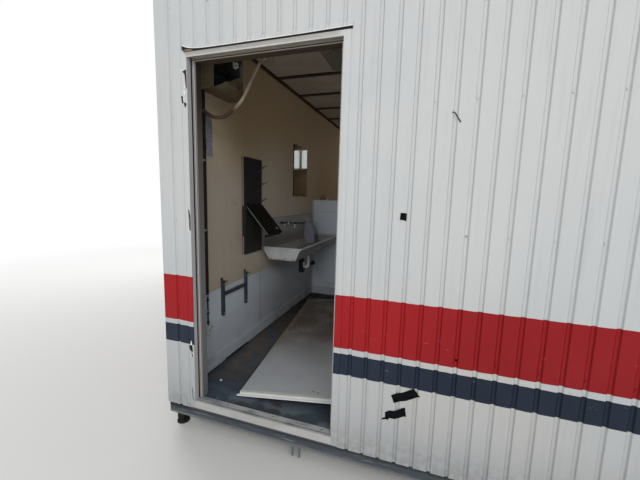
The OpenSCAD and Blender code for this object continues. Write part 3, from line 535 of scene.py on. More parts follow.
def head_paint():
    """The head of the frame: dusty warm grey in front, brown and streaked in its rebate, with
    painted shadow under the sheet's lip and painted shade deep in its soffit.
    """
    paint = Finish("door_head_enamel", (168, 163, 158), 0.45)
    paint.coat(paint.cloud(0.09, 0.38, 0.7, (3, 1, 1), 4) * 0.7, 157, 152, 147)
    # Painted shadow: the flange's top darker where the sheet's lip overhangs it
    lip_shadow = paint.z(FRAME_TOP - 0.026, FRAME_TOP - 0.015)
    paint.stain(lip_shadow * 0.9, 0.72, 0.71, 0.69)
    paint.coat(paint.x(FRAME_RIGHT - 0.45, FRAME_RIGHT - 0.02) * 0.6, 184, 183, 177)
    paint.coat(paint.x(FRAME_RIGHT - 0.075, FRAME_RIGHT - 0.03), 197, 198, 197)
    way_in = paint.y - FRAME_FACE
    paint.coat(way_in(0.0045, 0.0055), 166, 157, 147)
    streaks = paint.cloud(0.004, 0.45, 0.62, (40, 1, 1), 2)
    paint.stain(streaks * way_in(0.006, 0.010), 0.62, 0.59, 0.55)
    paint.coat(way_in.between(0.0418, 0.0424, 0.0004), 160, 152, 142)
    # Painted shade: the soffit deep behind the stop is dark brown
    paint.coat(way_in(0.043, 0.046), 72, 61, 51)
    paint.stain(paint.cloud(0.014, 0.58, 0.72, (4, 1, 1), 5) * 0.5, 0.78, 0.75, 0.70, 0.65)
    return paint.lift(paint.grain(0.02, (6, 1, 1)), 0.0006).done()


def sill_paint():
    """Off-white front, worn down to pale metal on top, grey with dirt in its corners, and
    painted shade near black along its foot.
    """
    paint = Finish("sill_enamel", (182, 181, 179), 0.5)
    paint.coat(paint.cloud(0.08, 0.35, 0.75, (2, 1, 1), 4), 171, 170, 167)
    top = paint.z(FLOOR + 0.0055, FLOOR + 0.0068)
    paint.coat(top, 132, 134, 138, 0.45)
    paint.coat(top * paint.cloud(0.05, 0.32, 0.62, (3, 1, 1), 6), 178, 180, 182, 0.38)
    paint.stain(paint.cloud(0.018, 0.58, 0.72, (4, 1, 1), 6) * 0.5, 0.68, 0.66, 0.62, 0.75)
    paint.stain(paint.z.between(FLOOR + 0.0030, FLOOR + 0.0050, 0.0006), 0.60, 0.60, 0.60)
    chips = paint.cloud(0.012, 0.70, 0.72)
    paint.coat(chips * 0.8, 84, 76, 70)
    # Painted shade: near black below the sheet's foot
    paint.stain(paint.z(SHEET_FOOT + 0.011, SHEET_FOOT + 0.005), 0.16, 0.17, 0.19)
    rear = paint.y(FRAME_FACE + 0.078, FRAME_FACE + 0.086)
    paint.stain(rear * paint.cloud(0.09, 0.38, 0.60, (3, 1, 1), 4), 0.42, 0.42, 0.42)
    return paint.lift(paint.grain(0.03, detail=4), 0.0006).done()


def chassis_steel():
    """Dull blue-grey steel with painted light: shadow painted near black under the wall and at
    its left end, and a painted highlight along its lower edge; pale scrapes along it, and rust
    from its edges."""
    steel = Finish("chassis_steel", (68, 75, 82), 0.55)
    foot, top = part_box("end_rails")[0].z, SHEET_FOOT
    steel.coat(steel.cloud(0.14, 0.35, 0.75, (4, 4, 1), 4), 61, 67, 74)
    scrapes = steel.cloud(0.008, 0.58, 0.70, (18, 18, 1), 5)
    steel.coat(scrapes * 0.6, 130, 140, 148)
    # Painted highlight on the lower edge, then painted shadow: darker upwards, near black right under
    # the sheet, and darker at the left end
    steel.coat(steel.z(foot + 0.020, foot + 0.008) * 0.75, 112, 119, 124)
    steel.stain(steel.z(foot + 0.040, top - 0.008), 0.34, 0.36, 0.38)
    steel.coat(steel.z(top - 0.007, top - 0.004), 16, 18, 20)
    steel.stain(steel.x(-0.98, -1.16) * steel.z(foot + 0.026, foot + 0.050),
                0.36, 0.38, 0.40)
    rust = steel.cloud(0.05, 0.66, 0.72, detail=7)
    steel.coat(rust * 0.6, 92, 70, 56, 0.85)
    mud = steel.cloud(0.02, 0.50, 0.66, (2, 2, 1), 6)
    steel.coat(mud * (steel.z(0.13, 0.09) * 0.3 + 0.1), 112, 112, 108, 0.85)
    return steel.lift(steel.grain(0.006), 0.0003).lift(rust, 0.0004).done()


def foot_steel():
    steel = Finish("foot_steel", (24, 24, 25), 0.6, gloss=0.15)
    steel.coat(steel.cloud(0.03, 0.58, 0.70, detail=6), 52, 40, 32, 0.85)
    steel.coat(steel.z(0.03, 0.0) * 0.4, 70, 66, 60, 0.9)
    return steel.lift(steel.grain(0.008, detail=4), 0.0005).done()


def floor_vinyl():
    """Worn dark sheet flooring: bluish by the left jamb and at the right, scuffed paler by the
    doorway, brown dirt along the walls and further in, painted shade in its corner along the wall
    and deeper into the room, and bare board on its underside."""
    floor = Finish("floor_vinyl", (64, 77, 89), 0.46)
    floor.coat(floor.cloud(0.35, 0.38, 0.7, detail=4), 54, 62, 70)
    flecks = floor.cloud(0.004, 0.60, 0.68, detail=1)
    floor.coat(flecks * 0.20, 92, 100, 106)
    scuffs = floor.cloud(0.05, 0.54, 0.70, (3, 1, 1), 7, (0, 0, 0.5))
    floor.coat(scuffs * 0.35, 88, 97, 105, 0.6)
    dust = floor.cloud(0.12, 0.36, 0.60, detail=6)
    under_leaf = floor.y(-2.24, -2.34) * floor.x.between(-0.78, -0.34, 0.06)
    floor.coat(under_leaf * dust * 0.8, 60, 56, 56, 0.85)
    soft = floor.cloud(0.12, 0.46, 0.62, (1.5, 1, 1), 5, warp=0.4)
    floor.coat(floor.y(-2.26, -2.43) * soft * 0.6, 112, 128, 142, 0.65)
    by_wall = floor.x(LINING + 0.42, LINING + 0.06) * floor.y(-2.28, -2.10)
    floor.coat(dust * by_wall * 0.9, 106, 97, 89, 0.85)
    # Painted shade: a dark strip in the corner where the floor meets the wall
    floor.stain(floor.x(LINING + 0.05, LINING + 0.015) * floor.y(-2.35, -2.20), 0.45, 0.42, 0.40)
    floor.coat(dust * floor.y(-2.0, -1.2) * 0.7, 80, 73, 67, 0.85)
    # Painted shade: the floor darkens further into the room
    floor.stain(floor.y(-1.5, -0.4), 0.34, 0.32, 0.30)
    board = floor.z(FLOOR - 0.001, FLOOR - 0.003)
    floor.coat(board, 140, 112, 80, 0.8)
    floor.coat(board * floor.cloud(0.01, 0.4, 0.7, (1, 30, 1)), 110, 84, 58)
    return floor.lift(floor.grain(0.03, detail=4), 0.0004).lift(scuffs, 0.0001).done()


def wall_lining():
    """Beige lining board, greyed near the doorway and low down, browner high up and further
    in, with painted light in two pale patches, hand marks, faint runs and dust above the wainscot."""
    wall = Finish("beige_lining", (190, 179, 164), 0.42)
    upper = wall.z(1.50, 2.10) * wall.y(-2.35, -1.75)
    wall.coat(wall.y(-1.1, 0.5) | upper, 182, 160, 128)
    # Painted light: a pale patch round the mirror, and one high up near the doorway
    wall.coat(wall.near((WALL_IN, -1.12, 1.74), 0.24, 0.26) * 0.8, 206, 194, 176)
    wall.coat(wall.near((WALL_IN, -2.05, 1.95), 0.16, 0.18) * 0.6, 205, 190, 160)
    wall.stain(wall.cloud(0.5, 0.35, 0.75, (1, 1, 2), 4) * 0.6, 0.88, 0.86, 0.83)
    wall.stain(wall.cloud(0.03, 0.52, 0.75, (1, 1, 14)) * 0.35, 0.82, 0.79, 0.74)
    hands = wall.cloud(0.10, 0.58, 0.72, detail=6) * wall.z.between(0.85, 1.75, 0.3)
    wall.stain(hands * 0.6, 0.84, 0.81, 0.76, 0.55)
    scratches = wall.cloud(0.006, 0.71, 0.73, (1, 22, 1), 4, (0.5, 0, 0))
    wall.coat(scratches * 0.4, 208, 198, 180)
    wall.stain(wall.z(WAINSCOT_TOP + 0.10, WAINSCOT_TOP) * 0.5, 0.90, 0.87, 0.82)
    wall.lift(wall.grain(0.002, detail=2), 0.00008)
    return wall.lift(wall.grain(0.4, detail=1), 0.0015).done()


def grey_lining():
    """Pale grey laminate: kicks and black heel marks low down, dust at the top, and painted
    shade on the wainscot along the wall, further in under the trough.
    """
    board = Finish("grey_lining", (202, 211, 221), 0.32)
    board.coat(board.cloud(0.4, 0.35, 0.75), 194, 203, 212)
    height = board.z - FLOOR
    kicks = board.cloud(0.12, 0.46, 0.68, (2, 2, 1), 6)
    board.stain(kicks * height(0.45, 0.0), 0.80, 0.78, 0.75, 0.6)
    heels = board.cloud(0.012, 0.69, 0.72, (10, 10, 1), 5)
    board.stain(heels * height(0.30, 0.10) * 0.7, 0.45, 0.44, 0.44)
    board.stain(board.cloud(0.018, 0.60, 0.74, (1, 1, 20)) * 0.5, 0.88, 0.86, 0.82)
    board.stain(height(0.02, 0.0) * 0.8, 0.55, 0.52, 0.48)
    across = board.y(-0.02, 0.0) * board.z.between(1.3275, 1.3325, 0.001)
    board.stain(across * 0.8, 0.62, 0.62, 0.62)
    on_wall = board.x(LINING + 0.030, LINING + 0.020)
    # Painted shade: the wainscot on the wall darkens further in, under the trough; it is also darker
    # towards its foot
    board.stain(on_wall * board.y(-1.9, -0.7), 0.70, 0.66, 0.62)
    board.stain(on_wall * height(0.50, 0.20), 0.84, 0.84, 0.85)
    joint = None
    for k in range(4):
        y = JOINT_FIRST + k * PANEL_WIDE
        line = board.y.between(y - 0.0024, y + 0.0024, 0.0006)
        joint = line if joint is None else joint + line
    above_skirting = height(SKIRTING_TALL - 0.001, SKIRTING_TALL + 0.001)
    board.coat(joint * above_skirting * 0.85, 58, 58, 60, 0.7)
    return board.lift(board.grain(0.3, detail=1), 0.0012).done()


def ceiling_lining():
    """Pale ceiling board, nicotine-brown between its strips, with damp patches."""
    board = Finish("ceiling_lining", (200, 190, 178), 0.55)
    board.coat(board.cloud(0.35, 0.35, 0.7, detail=5), 186, 174, 160)
    board.stain(board.cloud(0.16, 0.60, 0.66, detail=6, warp=0.8) * 0.5, 0.84, 0.78, 0.68)
    return board.lift(board.grain(0.003, detail=2), 0.0002).done()


def dark_strip():
    strip = Finish("dark_strip", (56, 40, 32), 0.4)
    strip.coat(strip.cloud(0.008, 0.45, 0.7, (1, 12, 12), 4), 38, 27, 22)
    strip.coat(strip.cloud(0.03, 0.60, 0.74, detail=5) * 0.4, 96, 82, 70, 0.7)
    return strip.lift(strip.grain(0.004, (1, 12, 12)), 0.0002).done()


def roof_sheet():
    """Weathered grey sheet with dirt lying along its seams, lichen spots and rust."""
    roof = Finish("roof_sheet", (128, 132, 136), 0.5, 0.35)
    roof.coat(roof.cloud(0.4, 0.38, 0.7, (1, 0.4, 1), 5), 108, 110, 112)
    roof.coat(roof.cloud(0.06, 0.55, 0.72, (6, 1, 1), 5) * 0.6, 90, 86, 78, 0.85)
    roof.coat(roof.cloud(0.035, 0.66, 0.70, detail=6) * 0.7, 138, 140, 112, 0.9)
    roof.coat(roof.cloud(0.07, 0.68, 0.72, detail=7) * 0.7, 116, 78, 54, 0.9)
    return roof.lift(roof.grain(0.25, detail=2), 0.002).done()


def lip_paint():
    """Coach paint, with the sheet's grooves pressed nearly flat in it and their shade painted on
    as grey stripes.
    """
    paint = coach_paint("paint_head_lip")
    turns = paint.work_out("FRACT", paint.work_out("DIVIDE", paint.x, GROOVE_PITCH))
    apart = paint.work_out("ABSOLUTE", turns - 0.5) * GROOVE_PITCH
    # Painted shade of the flattened grooves
    grooves = apart.between(GROOVE_FLOOR_HALF, GROOVE_HALF, 0.001)
    return paint.stain(grooves, 0.84, 0.84, 0.84).done()


def white_trim(name, level=206):
    trim = Finish(name, (level, level + 2, level + 1), 0.4)
    trim.coat(trim.cloud(0.3, 0.4, 0.75), level - 10, level - 8, level - 10)
    trim.stain(trim.cloud(0.02, 0.54, 0.74, (1, 1, 12), 4) * 0.7, 0.80, 0.78, 0.72)
    trim.coat(trim.cloud(0.015, 0.71, 0.73) * 0.7, 110, 92, 78, 0.8)
    return trim.lift(trim.grain(0.2, detail=2), 0.0008).done()


def leaf_skin():
    """The loose leaf, along its own axes: grey-white skin, painted light at its near right, bright
    end channels and lip, painted shade near black on the long sides' lip, and a brown film of
    dirt over its far half."""
    skin = Finish("leaf_skin", (184, 189, 194), 0.4)
    skin.look_from(skin.add("Mapping", Vector=skin.place, Location=LEAF_CORNER,
                            Rotation=LEAF_TURN, vector_type="TEXTURE"))
    across, along, up = skin.x, skin.y, skin.z
    skin.coat(skin.cloud(0.3, 0.35, 0.7), 175, 179, 184)
    # Painted light: paler towards the near right corner
    skin.coat(across(0.35, 0.75) * along(0.95, 0.35), 209, 211, 213)
    channel = (along(NEAR_FOLD + 0.0008, NEAR_FOLD - 0.0008)
               | along(FAR_FOLD - 0.0008, FAR_FOLD + 0.0008))
    skin.coat(channel, 206, 210, 203, 0.35)
    skin.stain(channel * skin.cloud(0.03, 0.45, 0.70, (5, 1, 1), 5) * 0.5, 0.82, 0.82, 0.80, 0.5)
    end_lip = along(LEAF_LIP + 0.001, LEAF_LIP - 0.001)
    skin.coat(up(LIP_THICK + 0.0006, LIP_THICK - 0.0002) * end_lip, 226, 228, 228, 0.3)
    right_lip = LEAF_WIDE - LEAF_LIP
    long_lips = across(LEAF_LIP, LEAF_LIP - 0.001) | across(right_lip, right_lip + 0.001)
    # Painted shade: near black on the lip's top along the long sides, under the body's edge
    on_step = up(LIP_THICK - 0.0012, LIP_THICK - 0.0002) * up(LIP_THICK + 0.002, LIP_THICK + 0.001)
    skin.coat(on_step * along(LEAF_LIP - 0.004, LEAF_LIP) * long_lips, 30, 30, 32, 0.7)
    far = along(0.30, 1.05)
    film = skin.cloud(0.45, 0.20, 0.55, detail=6)
    skin.coat(far * film * 0.90, 124, 112, 101, 0.75)
    skin.stain(along(0.85, 1.60), 0.84, 0.80, 0.78)
    left_edge = across(LEAF_LIP + 0.040, LEAF_LIP + 0.020)
    skin.coat(left_edge * far * 0.6, 150, 134, 118, 0.7)
    fine = skin.cloud(0.012, 0.40, 0.70, detail=6)
    skin.stain(far * fine * 0.6, 0.76, 0.73, 0.70, 0.85)
    patches = skin.cloud(0.16, 0.52, 0.66, (1.6, 1, 1), 5, warp=0.5)
    skin.stain(far * patches * 0.6, 0.74, 0.70, 0.66)
    grit = skin.cloud(0.022, 0.44, 0.56, detail=6, warp=0.6)
    skin.stain(along(0.75, 1.10) * grit * 0.7, 0.66, 0.61, 0.57, 0.85)
    skin.stain(skin.cloud(0.008, 0.69, 0.72) * 0.35, 0.70, 0.67, 0.64)
    scratches = skin.cloud(0.006, 0.70, 0.72, (18, 1, 1), 4, (0, 0, 0.9))
    skin.stain(scratches * 0.4, 0.80, 0.80, 0.80)
    skin.lift(skin.grain(0.2, detail=2), 0.0009)
    return skin.lift(far * fine, 0.0004).done()


def window_glass():
    """Obscured panes that let daylight through without a view."""
    glass = Finish("window_glass", (236, 240, 240), 0.35, gloss=0.5)
    glass.shader.inputs["Transmission Weight"].default_value = 0.9
    glass.shader.inputs["IOR"].default_value = 1.45
    glass.coat(glass.cloud(0.05, 0.45, 0.75, detail=5) * 0.5, 214, 214, 206, 0.6)
    return glass.lift(glass.grain(0.006, detail=1), 0.0006).done()


def mirror_silver():
    silver = Finish("mirror_silver", (214, 214, 210), 0.04, 1.0)
    silver.coat(silver.cloud(0.01, 0.72, 0.75, detail=5), 90, 84, 74, 0.5)
    low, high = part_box("wall_mirror")
    clear = silver.y.between(low.y + 0.004, high.y - 0.004, 0.001)
    return silver.coat(silver.work_out("SUBTRACT", 1.0, clear), 60, 58, 54, 0.3).done()


def black_board(name, level):
    """Dull black board, greyed a little by dust and scuffs."""
    board = Finish(name, (level, level - 1, level - 4), 0.6, gloss=0.2)
    board.coat(board.cloud(0.2, 0.4, 0.75, detail=5), level - 5, level - 6, level - 8)
    board.coat(board.cloud(0.02, 0.62, 0.74, (1, 4, 1), 6) * 0.2, 66, 64, 62, 0.7)
    return board.lift(board.grain(0.002, detail=2), 0.00015).done()


def worn_metal(name, colour, roughness=0.35):
    metal = Finish(name, colour, roughness, 0.85)
    dulled = [c * 0.72 for c in colour]
    metal.coat(metal.cloud(0.02, 0.5, 0.75, detail=5) * 0.5, *dulled, roughness + 0.2)
    metal.coat(metal.cloud(0.006, 0.68, 0.73, detail=4) * 0.6, 96, 74, 58, 0.8)
    return metal.lift(metal.grain(0.003), 0.0001).done()


def trough_steel():
    """Pressed sheet gone dull: painted brown shade below its rim and over its splash back, muck
    in the basin and lime runs on the splash back."""
    steel = Finish("trough_steel", (196, 199, 200), 0.34, 0.25)
    steel.coat(steel.cloud(0.12, 0.4, 0.7, (1, 4, 1), 4), 178, 182, 184)
    low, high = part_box("wash_trough")
    rim = high.z - SPLASH_BACK
    # Painted shade: brown below the rim, all but the near end
    front = steel.z(rim - 0.016, rim - 0.022) * steel.y(low.y + 0.004, low.y + 0.008)
    steel.stain(front * 0.8, 0.62, 0.58, 0.53, 0.6)
    bed = steel.z(rim - 0.085, rim - 0.112)
    steel.stain(bed * steel.cloud(0.03, 0.42, 0.62, detail=6), 0.62, 0.56, 0.48, 0.75)
    # Painted shade: the splash back darker all over, darkest low down near the rim
    splash = steel.x(WALL_IN + 0.03, WALL_IN + 0.02)
    low_splash = steel.z(rim + 0.13, rim + 0.02) * splash
    steel.stain(low_splash * 0.8, 0.72, 0.70, 0.68)
    steel.stain(splash, 0.64, 0.62, 0.58)
    runs = steel.cloud(0.014, 0.56, 0.72, (1, 1, 16), 4)
    steel.stain(runs * 0.6, 0.78, 0.77, 0.75)
    return steel.lift(steel.grain(0.12, detail=2), 0.001).done()


def trap_plastic():
    """White pipe and bend; the cup, the outlet pipe and its collar are black."""
    pipe = Finish("trap_plastic", (206, 207, 206), 0.35)
    flat = pipe.add("VectorMath", {0: pipe.place, 1: (1.0, 1.0, 0.0)}, operation="MULTIPLY")
    cup = pipe.apart(flat, (*TRAP_CUP, 0.0))(0.0312, 0.0304)
    outlet = pipe.y(TRAP_CUP[1] + 0.019, TRAP_CUP[1] + 0.021)
    pipe.coat(cup | outlet, 28, 27, 27, 0.5)
    pipe.stain(pipe.cloud(0.02, 0.50, 0.68, detail=6) * 0.6, 0.66, 0.62, 0.56, 0.7)
    return pipe.lift(pipe.grain(0.01), 0.0002).done()


def bracket_paint():
    paint = Finish("bracket_paint", (60, 68, 76), 0.45)
    paint.coat(paint.cloud(0.03, 0.48, 0.72, (1, 1, 3), 6), 45, 51, 57)
    chips = paint.cloud(0.012, 0.66, 0.69, detail=5)
    rust = paint.cloud(0.02, 0.69, 0.73, detail=7)
    paint.coat(chips, 120, 116, 110, 0.6).coat(rust, 104, 66, 44, 0.85)
    return paint.lift(paint.grain(0.006), 0.0002).done()


def plain_plastic(name, colour, roughness=0.4):
    plastic = Finish(name, colour, roughness)
    dirty = [c * 0.86 for c in colour]
    plastic.coat(plastic.cloud(0.03, 0.42, 0.72, detail=5) * 0.6, *dirty, roughness + 0.2)
    return plastic.lift(plastic.grain(0.003, detail=2), 0.00008).done()


def card_face():
    """A blank card gone grey-violet, mottled all over and paler along its foot."""
    card = Finish("card_face", (150, 153, 166), 0.5)
    card.stain(card.cloud(0.007, 0.42, 0.60, detail=4), 0.62, 0.60, 0.62)
    card.coat(card.cloud(0.011, 0.58, 0.68, detail=4, warp=0.5), 176, 180, 190)
    card.coat(card.z(1.786, 1.779) * 0.7, 190, 190, 190)
    card.stain(card.z(1.86, 2.00) * 0.8, 0.72, 0.80, 0.78)
    return card.lift(card.grain(0.02, detail=2), 0.0003).done()


def conduit_finish():
    """Pale sheath with pale and dark streaks along it, dark brown round its lower bend."""
    sheath = Finish("conduit_sheath", (226, 212, 190), 0.5)
    sheath.coat(sheath.z(2.36, 2.50) * 0.8, 214, 196, 184)
    streaks = sheath.cloud(0.004, 0.46, 0.66, (1, 8, 22), 3, (0.45, -0.12, 0))
    sheath.coat(streaks * 0.55, 140, 124, 106, 0.6)
    sheath.coat(sheath.y(-2.02, -2.10) * 0.94, 72, 54, 40, 0.7)
    rings = sheath.value("TexWave", None, 1, Vector=sheath.place, Scale=60.0, bands_direction="Z")
    return sheath.lift(rings, 0.0003).done()


def casing_paint():
    """Beige casing, darker underneath; its inside is near black, with a blue-grey strip by
    the mouth of its far side."""
    paint = Finish("casing_paint", (152, 136, 110), 0.45)
    paint.coat(paint.cloud(0.08, 0.4, 0.72, detail=5), 136, 120, 96)
    low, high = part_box("fuse_box")
    wall = 0.0022
    paint.stain(paint.z(low.z + 0.0009, low.z + 0.0003), 0.62, 0.56, 0.50)
    within = (paint.x.between(low.x + 0.001, high.x + 0.0005, 0.0004)
              * paint.y.between(low.y + wall, high.y - wall, 0.0004)
              * paint.z.between(low.z + wall, high.z - wall, 0.0004))
    paint.coat(within, 74, 79, 84, 0.7)
    strip = within * paint.y(high.y - 0.006, high.y - 0.004) * paint.x(high.x - 0.026, high.x - 0.018)
    paint.coat(strip * paint.z.between(low.z + 0.150, high.z - 0.045, 0.012), 124, 136, 148, 0.5)
    paint.stain(paint.cloud(0.012, 0.66, 0.70, detail=5) * 0.7, 0.45, 0.40, 0.34)
    return paint.done()


def cover_paint():
    """The dropped cover: brown, holed and dirty."""
    paint = Finish("cover_paint", (134, 115, 90), 0.5)
    paint.coat(paint.cloud(0.05, 0.4, 0.7, detail=5), 112, 95, 73)
    paint.coat(paint.cloud(0.02, 0.70, 0.72), 24, 22, 20, 0.8)
    # Painted shade: a black disc for the hole
    hole = (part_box("fuse_box_cover")[1].x, -1.907, 2.2915)
    paint.coat(paint.near(hole, 0.008, 0.003), 12, 11, 10, 0.9)
    return paint.lift(paint.grain(0.05), 0.0008).done()


def rubber(name, level=30, dusty=0.5):
    seal = Finish(name, (level, level, level + 1), 0.6)
    seal.coat(seal.cloud(0.015, 0.48, 0.72, detail=5) * dusty, level + 36, level + 34, level + 31, 0.8)
    return seal.lift(seal.grain(0.004), 0.0003).done()


def tape_black():
    tape = Finish("tape_black", (15, 17, 19), 0.6, gloss=0.03)
    creases = dict(stretch=(4, 1, 1), detail=4, turn=(0, 0.35, 0))
    tape.coat(tape.cloud(0.012, 0.45, 0.7, **creases) * 0.3, 27, 30, 33, 0.6)
    return tape.lift(tape.grain(0.014, **creases), 0.0012).done()


def lay_finishes():
    """Gives every node of the frame its finish."""
    finishes = {
        ("end_rails", "side_rails", "cross_members"): chassis_steel(),
        ("step_lugs",): plain_plastic("lug_enamel", (100, 106, 111), 0.5),
        ("feet",): foot_steel(), ("floor_deck",): floor_vinyl(),
        ("front_wall_left", "front_wall_right", "front_wall_over_door", "left_wall",
         "right_wall", "back_wall"): wall_lining(),
        ("front_cladding",): coach_paint("paint_front", "y", -FACE_Y, 1.0).done(),
        ("back_cladding",): coach_paint("paint_back", "y", FACE_Y, -1.0).done(),
        ("left_cladding",): coach_paint("paint_left", "x", -FACE_X, 1.0).done(),
        ("right_cladding",): coach_paint("paint_right", "x", FACE_X, -1.0).done(),
        ("corner_trims",): coach_paint("paint_corners").done(),
        ("roof_panel",): ceiling_lining(), ("roof_covering",): roof_sheet(),
        ("roof_fascia", "window_frame"): white_trim("white_trim"),
        ("ceiling_strips", "cable_trunk"): dark_strip(),
        ("ceiling_light",): plain_plastic("light_plastic", (128, 122, 110)),
        ("door_frame_left",): frame_paint("paint_jamb_left"),
        ("door_frame_right",): frame_paint("paint_jamb_right"),
        ("door_frame_head",): head_paint(), ("door_sill",): sill_paint(),
        ("loose_door_leaf",): leaf_skin(), ("window_panes",): window_glass(),
        ("wainscot", "skirting", "half_partition"): grey_lining(),
        ("wall_mirror",): mirror_silver(),
        ("wall_board",): black_board("board_black", 46),
        # Painted shade: the flap takes a darker copy of the board's black
        ("board_flap",): black_board("flap_black", 22),
        ("coat_hooks",): worn_metal("hook_metal", (62, 56, 50), 0.5),
        ("wash_trough",): trough_steel(), ("taps",): worn_metal("tap_chrome", (206, 208, 212), 0.16),
        ("waste_trap",): trap_plastic(), ("bench_bracket",): bracket_paint(),
        ("wall_socket",): plain_plastic("socket_plastic", (178, 182, 184), 0.35),
        ("fuse_box",): casing_paint(), ("fuse_box_cover",): cover_paint()}
    for nodes, finish in finishes.items():
        for node in nodes:
            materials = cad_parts[node].data.materials
            materials.clear()
            materials.append(finish)


# Cladding: screws, laps and the marks on it


SCREW_ROW_FOOT = 0.190
SCREW_ROW_PITCH = 0.5875
SCREW_ROWS = 5
# The front lap, right of the doorway, by its groove, and its own row of screws
LAP_GROOVE = 5
LAP_ROW_FOOT = 0.387
LAP_ROW_PITCH = 0.195
LAP_ROW_SCREWS = 11
# How far below the sheet's top a lap ends, at the fascia's foot
LAP_SHORT = 0.126


def groove_at(index):
    return (index + 0.5) * GROOVE_PITCH


def screw_field(name, columns, rows, row_pitch, start, turn, seed, finish):
    """Hexagon-headed sheet screws in every second groove, some of them gone; turn is about Z,
    and a screw looks along -Y before it."""
    recipe = Recipe(name, Columns=columns, Column_pitch=2 * GROOVE_PITCH, Rows=rows,
                    Row_pitch=row_pitch, Start=start, Turn=turn, Head_radius=0.0036,
                    Head_height=0.0036, Washer_radius=0.0062, Missing_share=0.05, Seed=seed)
    given = recipe.inputs
    row = recipe.add("MeshLine", Count=given.Columns, Offset=recipe.vector(X=given.Column_pitch))
    column = recipe.add("MeshLine", Count=given.Rows, Offset=recipe.vector(Z=given.Row_pitch))
    grid = recipe.add("InstanceOnPoints", Points=row, Instance=column)
    gone = recipe.chance("BOOLEAN", 3, Probability=given.Missing_share)
    kept = recipe.add("DeleteGeometry", Geometry=recipe.add("RealizeInstances", {0: grid}),
                      Selection=gone)
    head = recipe.add("MeshCylinder", Vertices=6, Radius=given.Head_radius,
                      Depth=given.Head_height)
    washer = recipe.add("MeshCylinder", Vertices=12, Radius=given.Washer_radius, Depth=0.0016)
    raised = recipe.add("Transform", Geometry=head, Translation=(0, 0, 0.0025))
    screw = recipe.add("JoinGeometry", {0: [raised, washer]})
    facing = recipe.add("Transform", Geometry=screw, Rotation=(math.pi / 2, 0, 0))
    spin = recipe.vector(Y=recipe.chance("FLOAT", 1, {2: 0.0, 3: math.pi}))
    driven = recipe.add("InstanceOnPoints", Points=kept, Instance=facing, Rotation=spin)
    turned = recipe.add("Transform", Geometry=driven, Translation=given.Start,
                        Rotation=recipe.vector(Z=given.Turn))
    return recipe.run(turned, finish)


def drive_screws():
    """Five rows of screws on every wall, and a closer row down the lap of the front sheets."""
    enamel = coach_paint("screw_enamel").done()
    bed = GROOVE_DEPTH - 0.0008
    x, y, foot = FACE_X - bed, FACE_Y - bed, SCREW_ROW_FOOT
    rows = (SCREW_ROWS, SCREW_ROW_PITCH)
    top_row = foot + (SCREW_ROWS - 1) * SCREW_ROW_PITCH
    walls = {
        "front": (0.0, [(8, *rows, (groove_at(-1), -y, foot)),
                        (1, *rows, (groove_at(-14), -y, foot)),
                        (5, 1, 0.1, (groove_at(-11), -y, top_row)),
                        (1, LAP_ROW_SCREWS, LAP_ROW_PITCH, (groove_at(LAP_GROOVE), -y, LAP_ROW_FOOT))]),
        "back": (math.pi, [(14, *rows, (groove_at(13), y, foot))]),
        "left": (-math.pi / 2, [(28, *rows, (-x, groove_at(27), foot))]),
        "right": (math.pi / 2, [(28, *rows, (x, groove_at(-28), foot))])}
    for wall, (turn, fields) in walls.items():
        screws = Form()
        for i, field in enumerate(fields):
            screws.mesh.from_mesh(screw_field(f"screws_{wall}_{i}", *field, turn, 11 + i, enamel))
        screws.piece(f"cladding_screws_{wall}", enamel, "cladding_paint")


def lap_strip(form, origin, across, inward):
    """The free edge of a sheet lying over its neighbour in a groove."""
    origin, across, inward = Vector(origin), Vector(across), Vector(inward)
    line = [(-0.040, 0.0), (-GROOVE_HALF, 0.0), (-GROOVE_FLOOR_HALF, GROOVE_DEPTH),
            (0.003, GROOVE_DEPTH)]
    outer = [(x, y - SHEET_THICK) for x, y in line[:0:-1]]
    form.plate([origin + across * x + inward * y for x, y in line + outer],
               (0, 0, SHEET_TOP - LAP_SHORT - SHEET_FOOT))


def lap_sheets():
    """Laps about a metre apart on every wall."""
    x, y, z = FACE_X + 0.0002, FACE_Y + 0.0002, SHEET_FOOT
    front, others = Form(), Form()
    lap_strip(front, (groove_at(LAP_GROOVE), -y, z), (1, 0, 0), (0, 1, 0))
    for index in (-27, -15, -3, 9, 21):
        for face in (-1, 1):
            lap_strip(others, (face * x, groove_at(index), z), (0, 1, 0), (-face, 0, 0))
    for index in (-9, 3):
        lap_strip(others, (groove_at(index), y, z), (1, 0, 0), (0, -1, 0))
    front.piece("sheet_lap_front", coach_paint("paint_lap_front").done(), "cladding_paint")
    others.piece("sheet_laps_round_the_sides", coach_paint("paint_lap_sides").done(),
                 "cladding_paint")


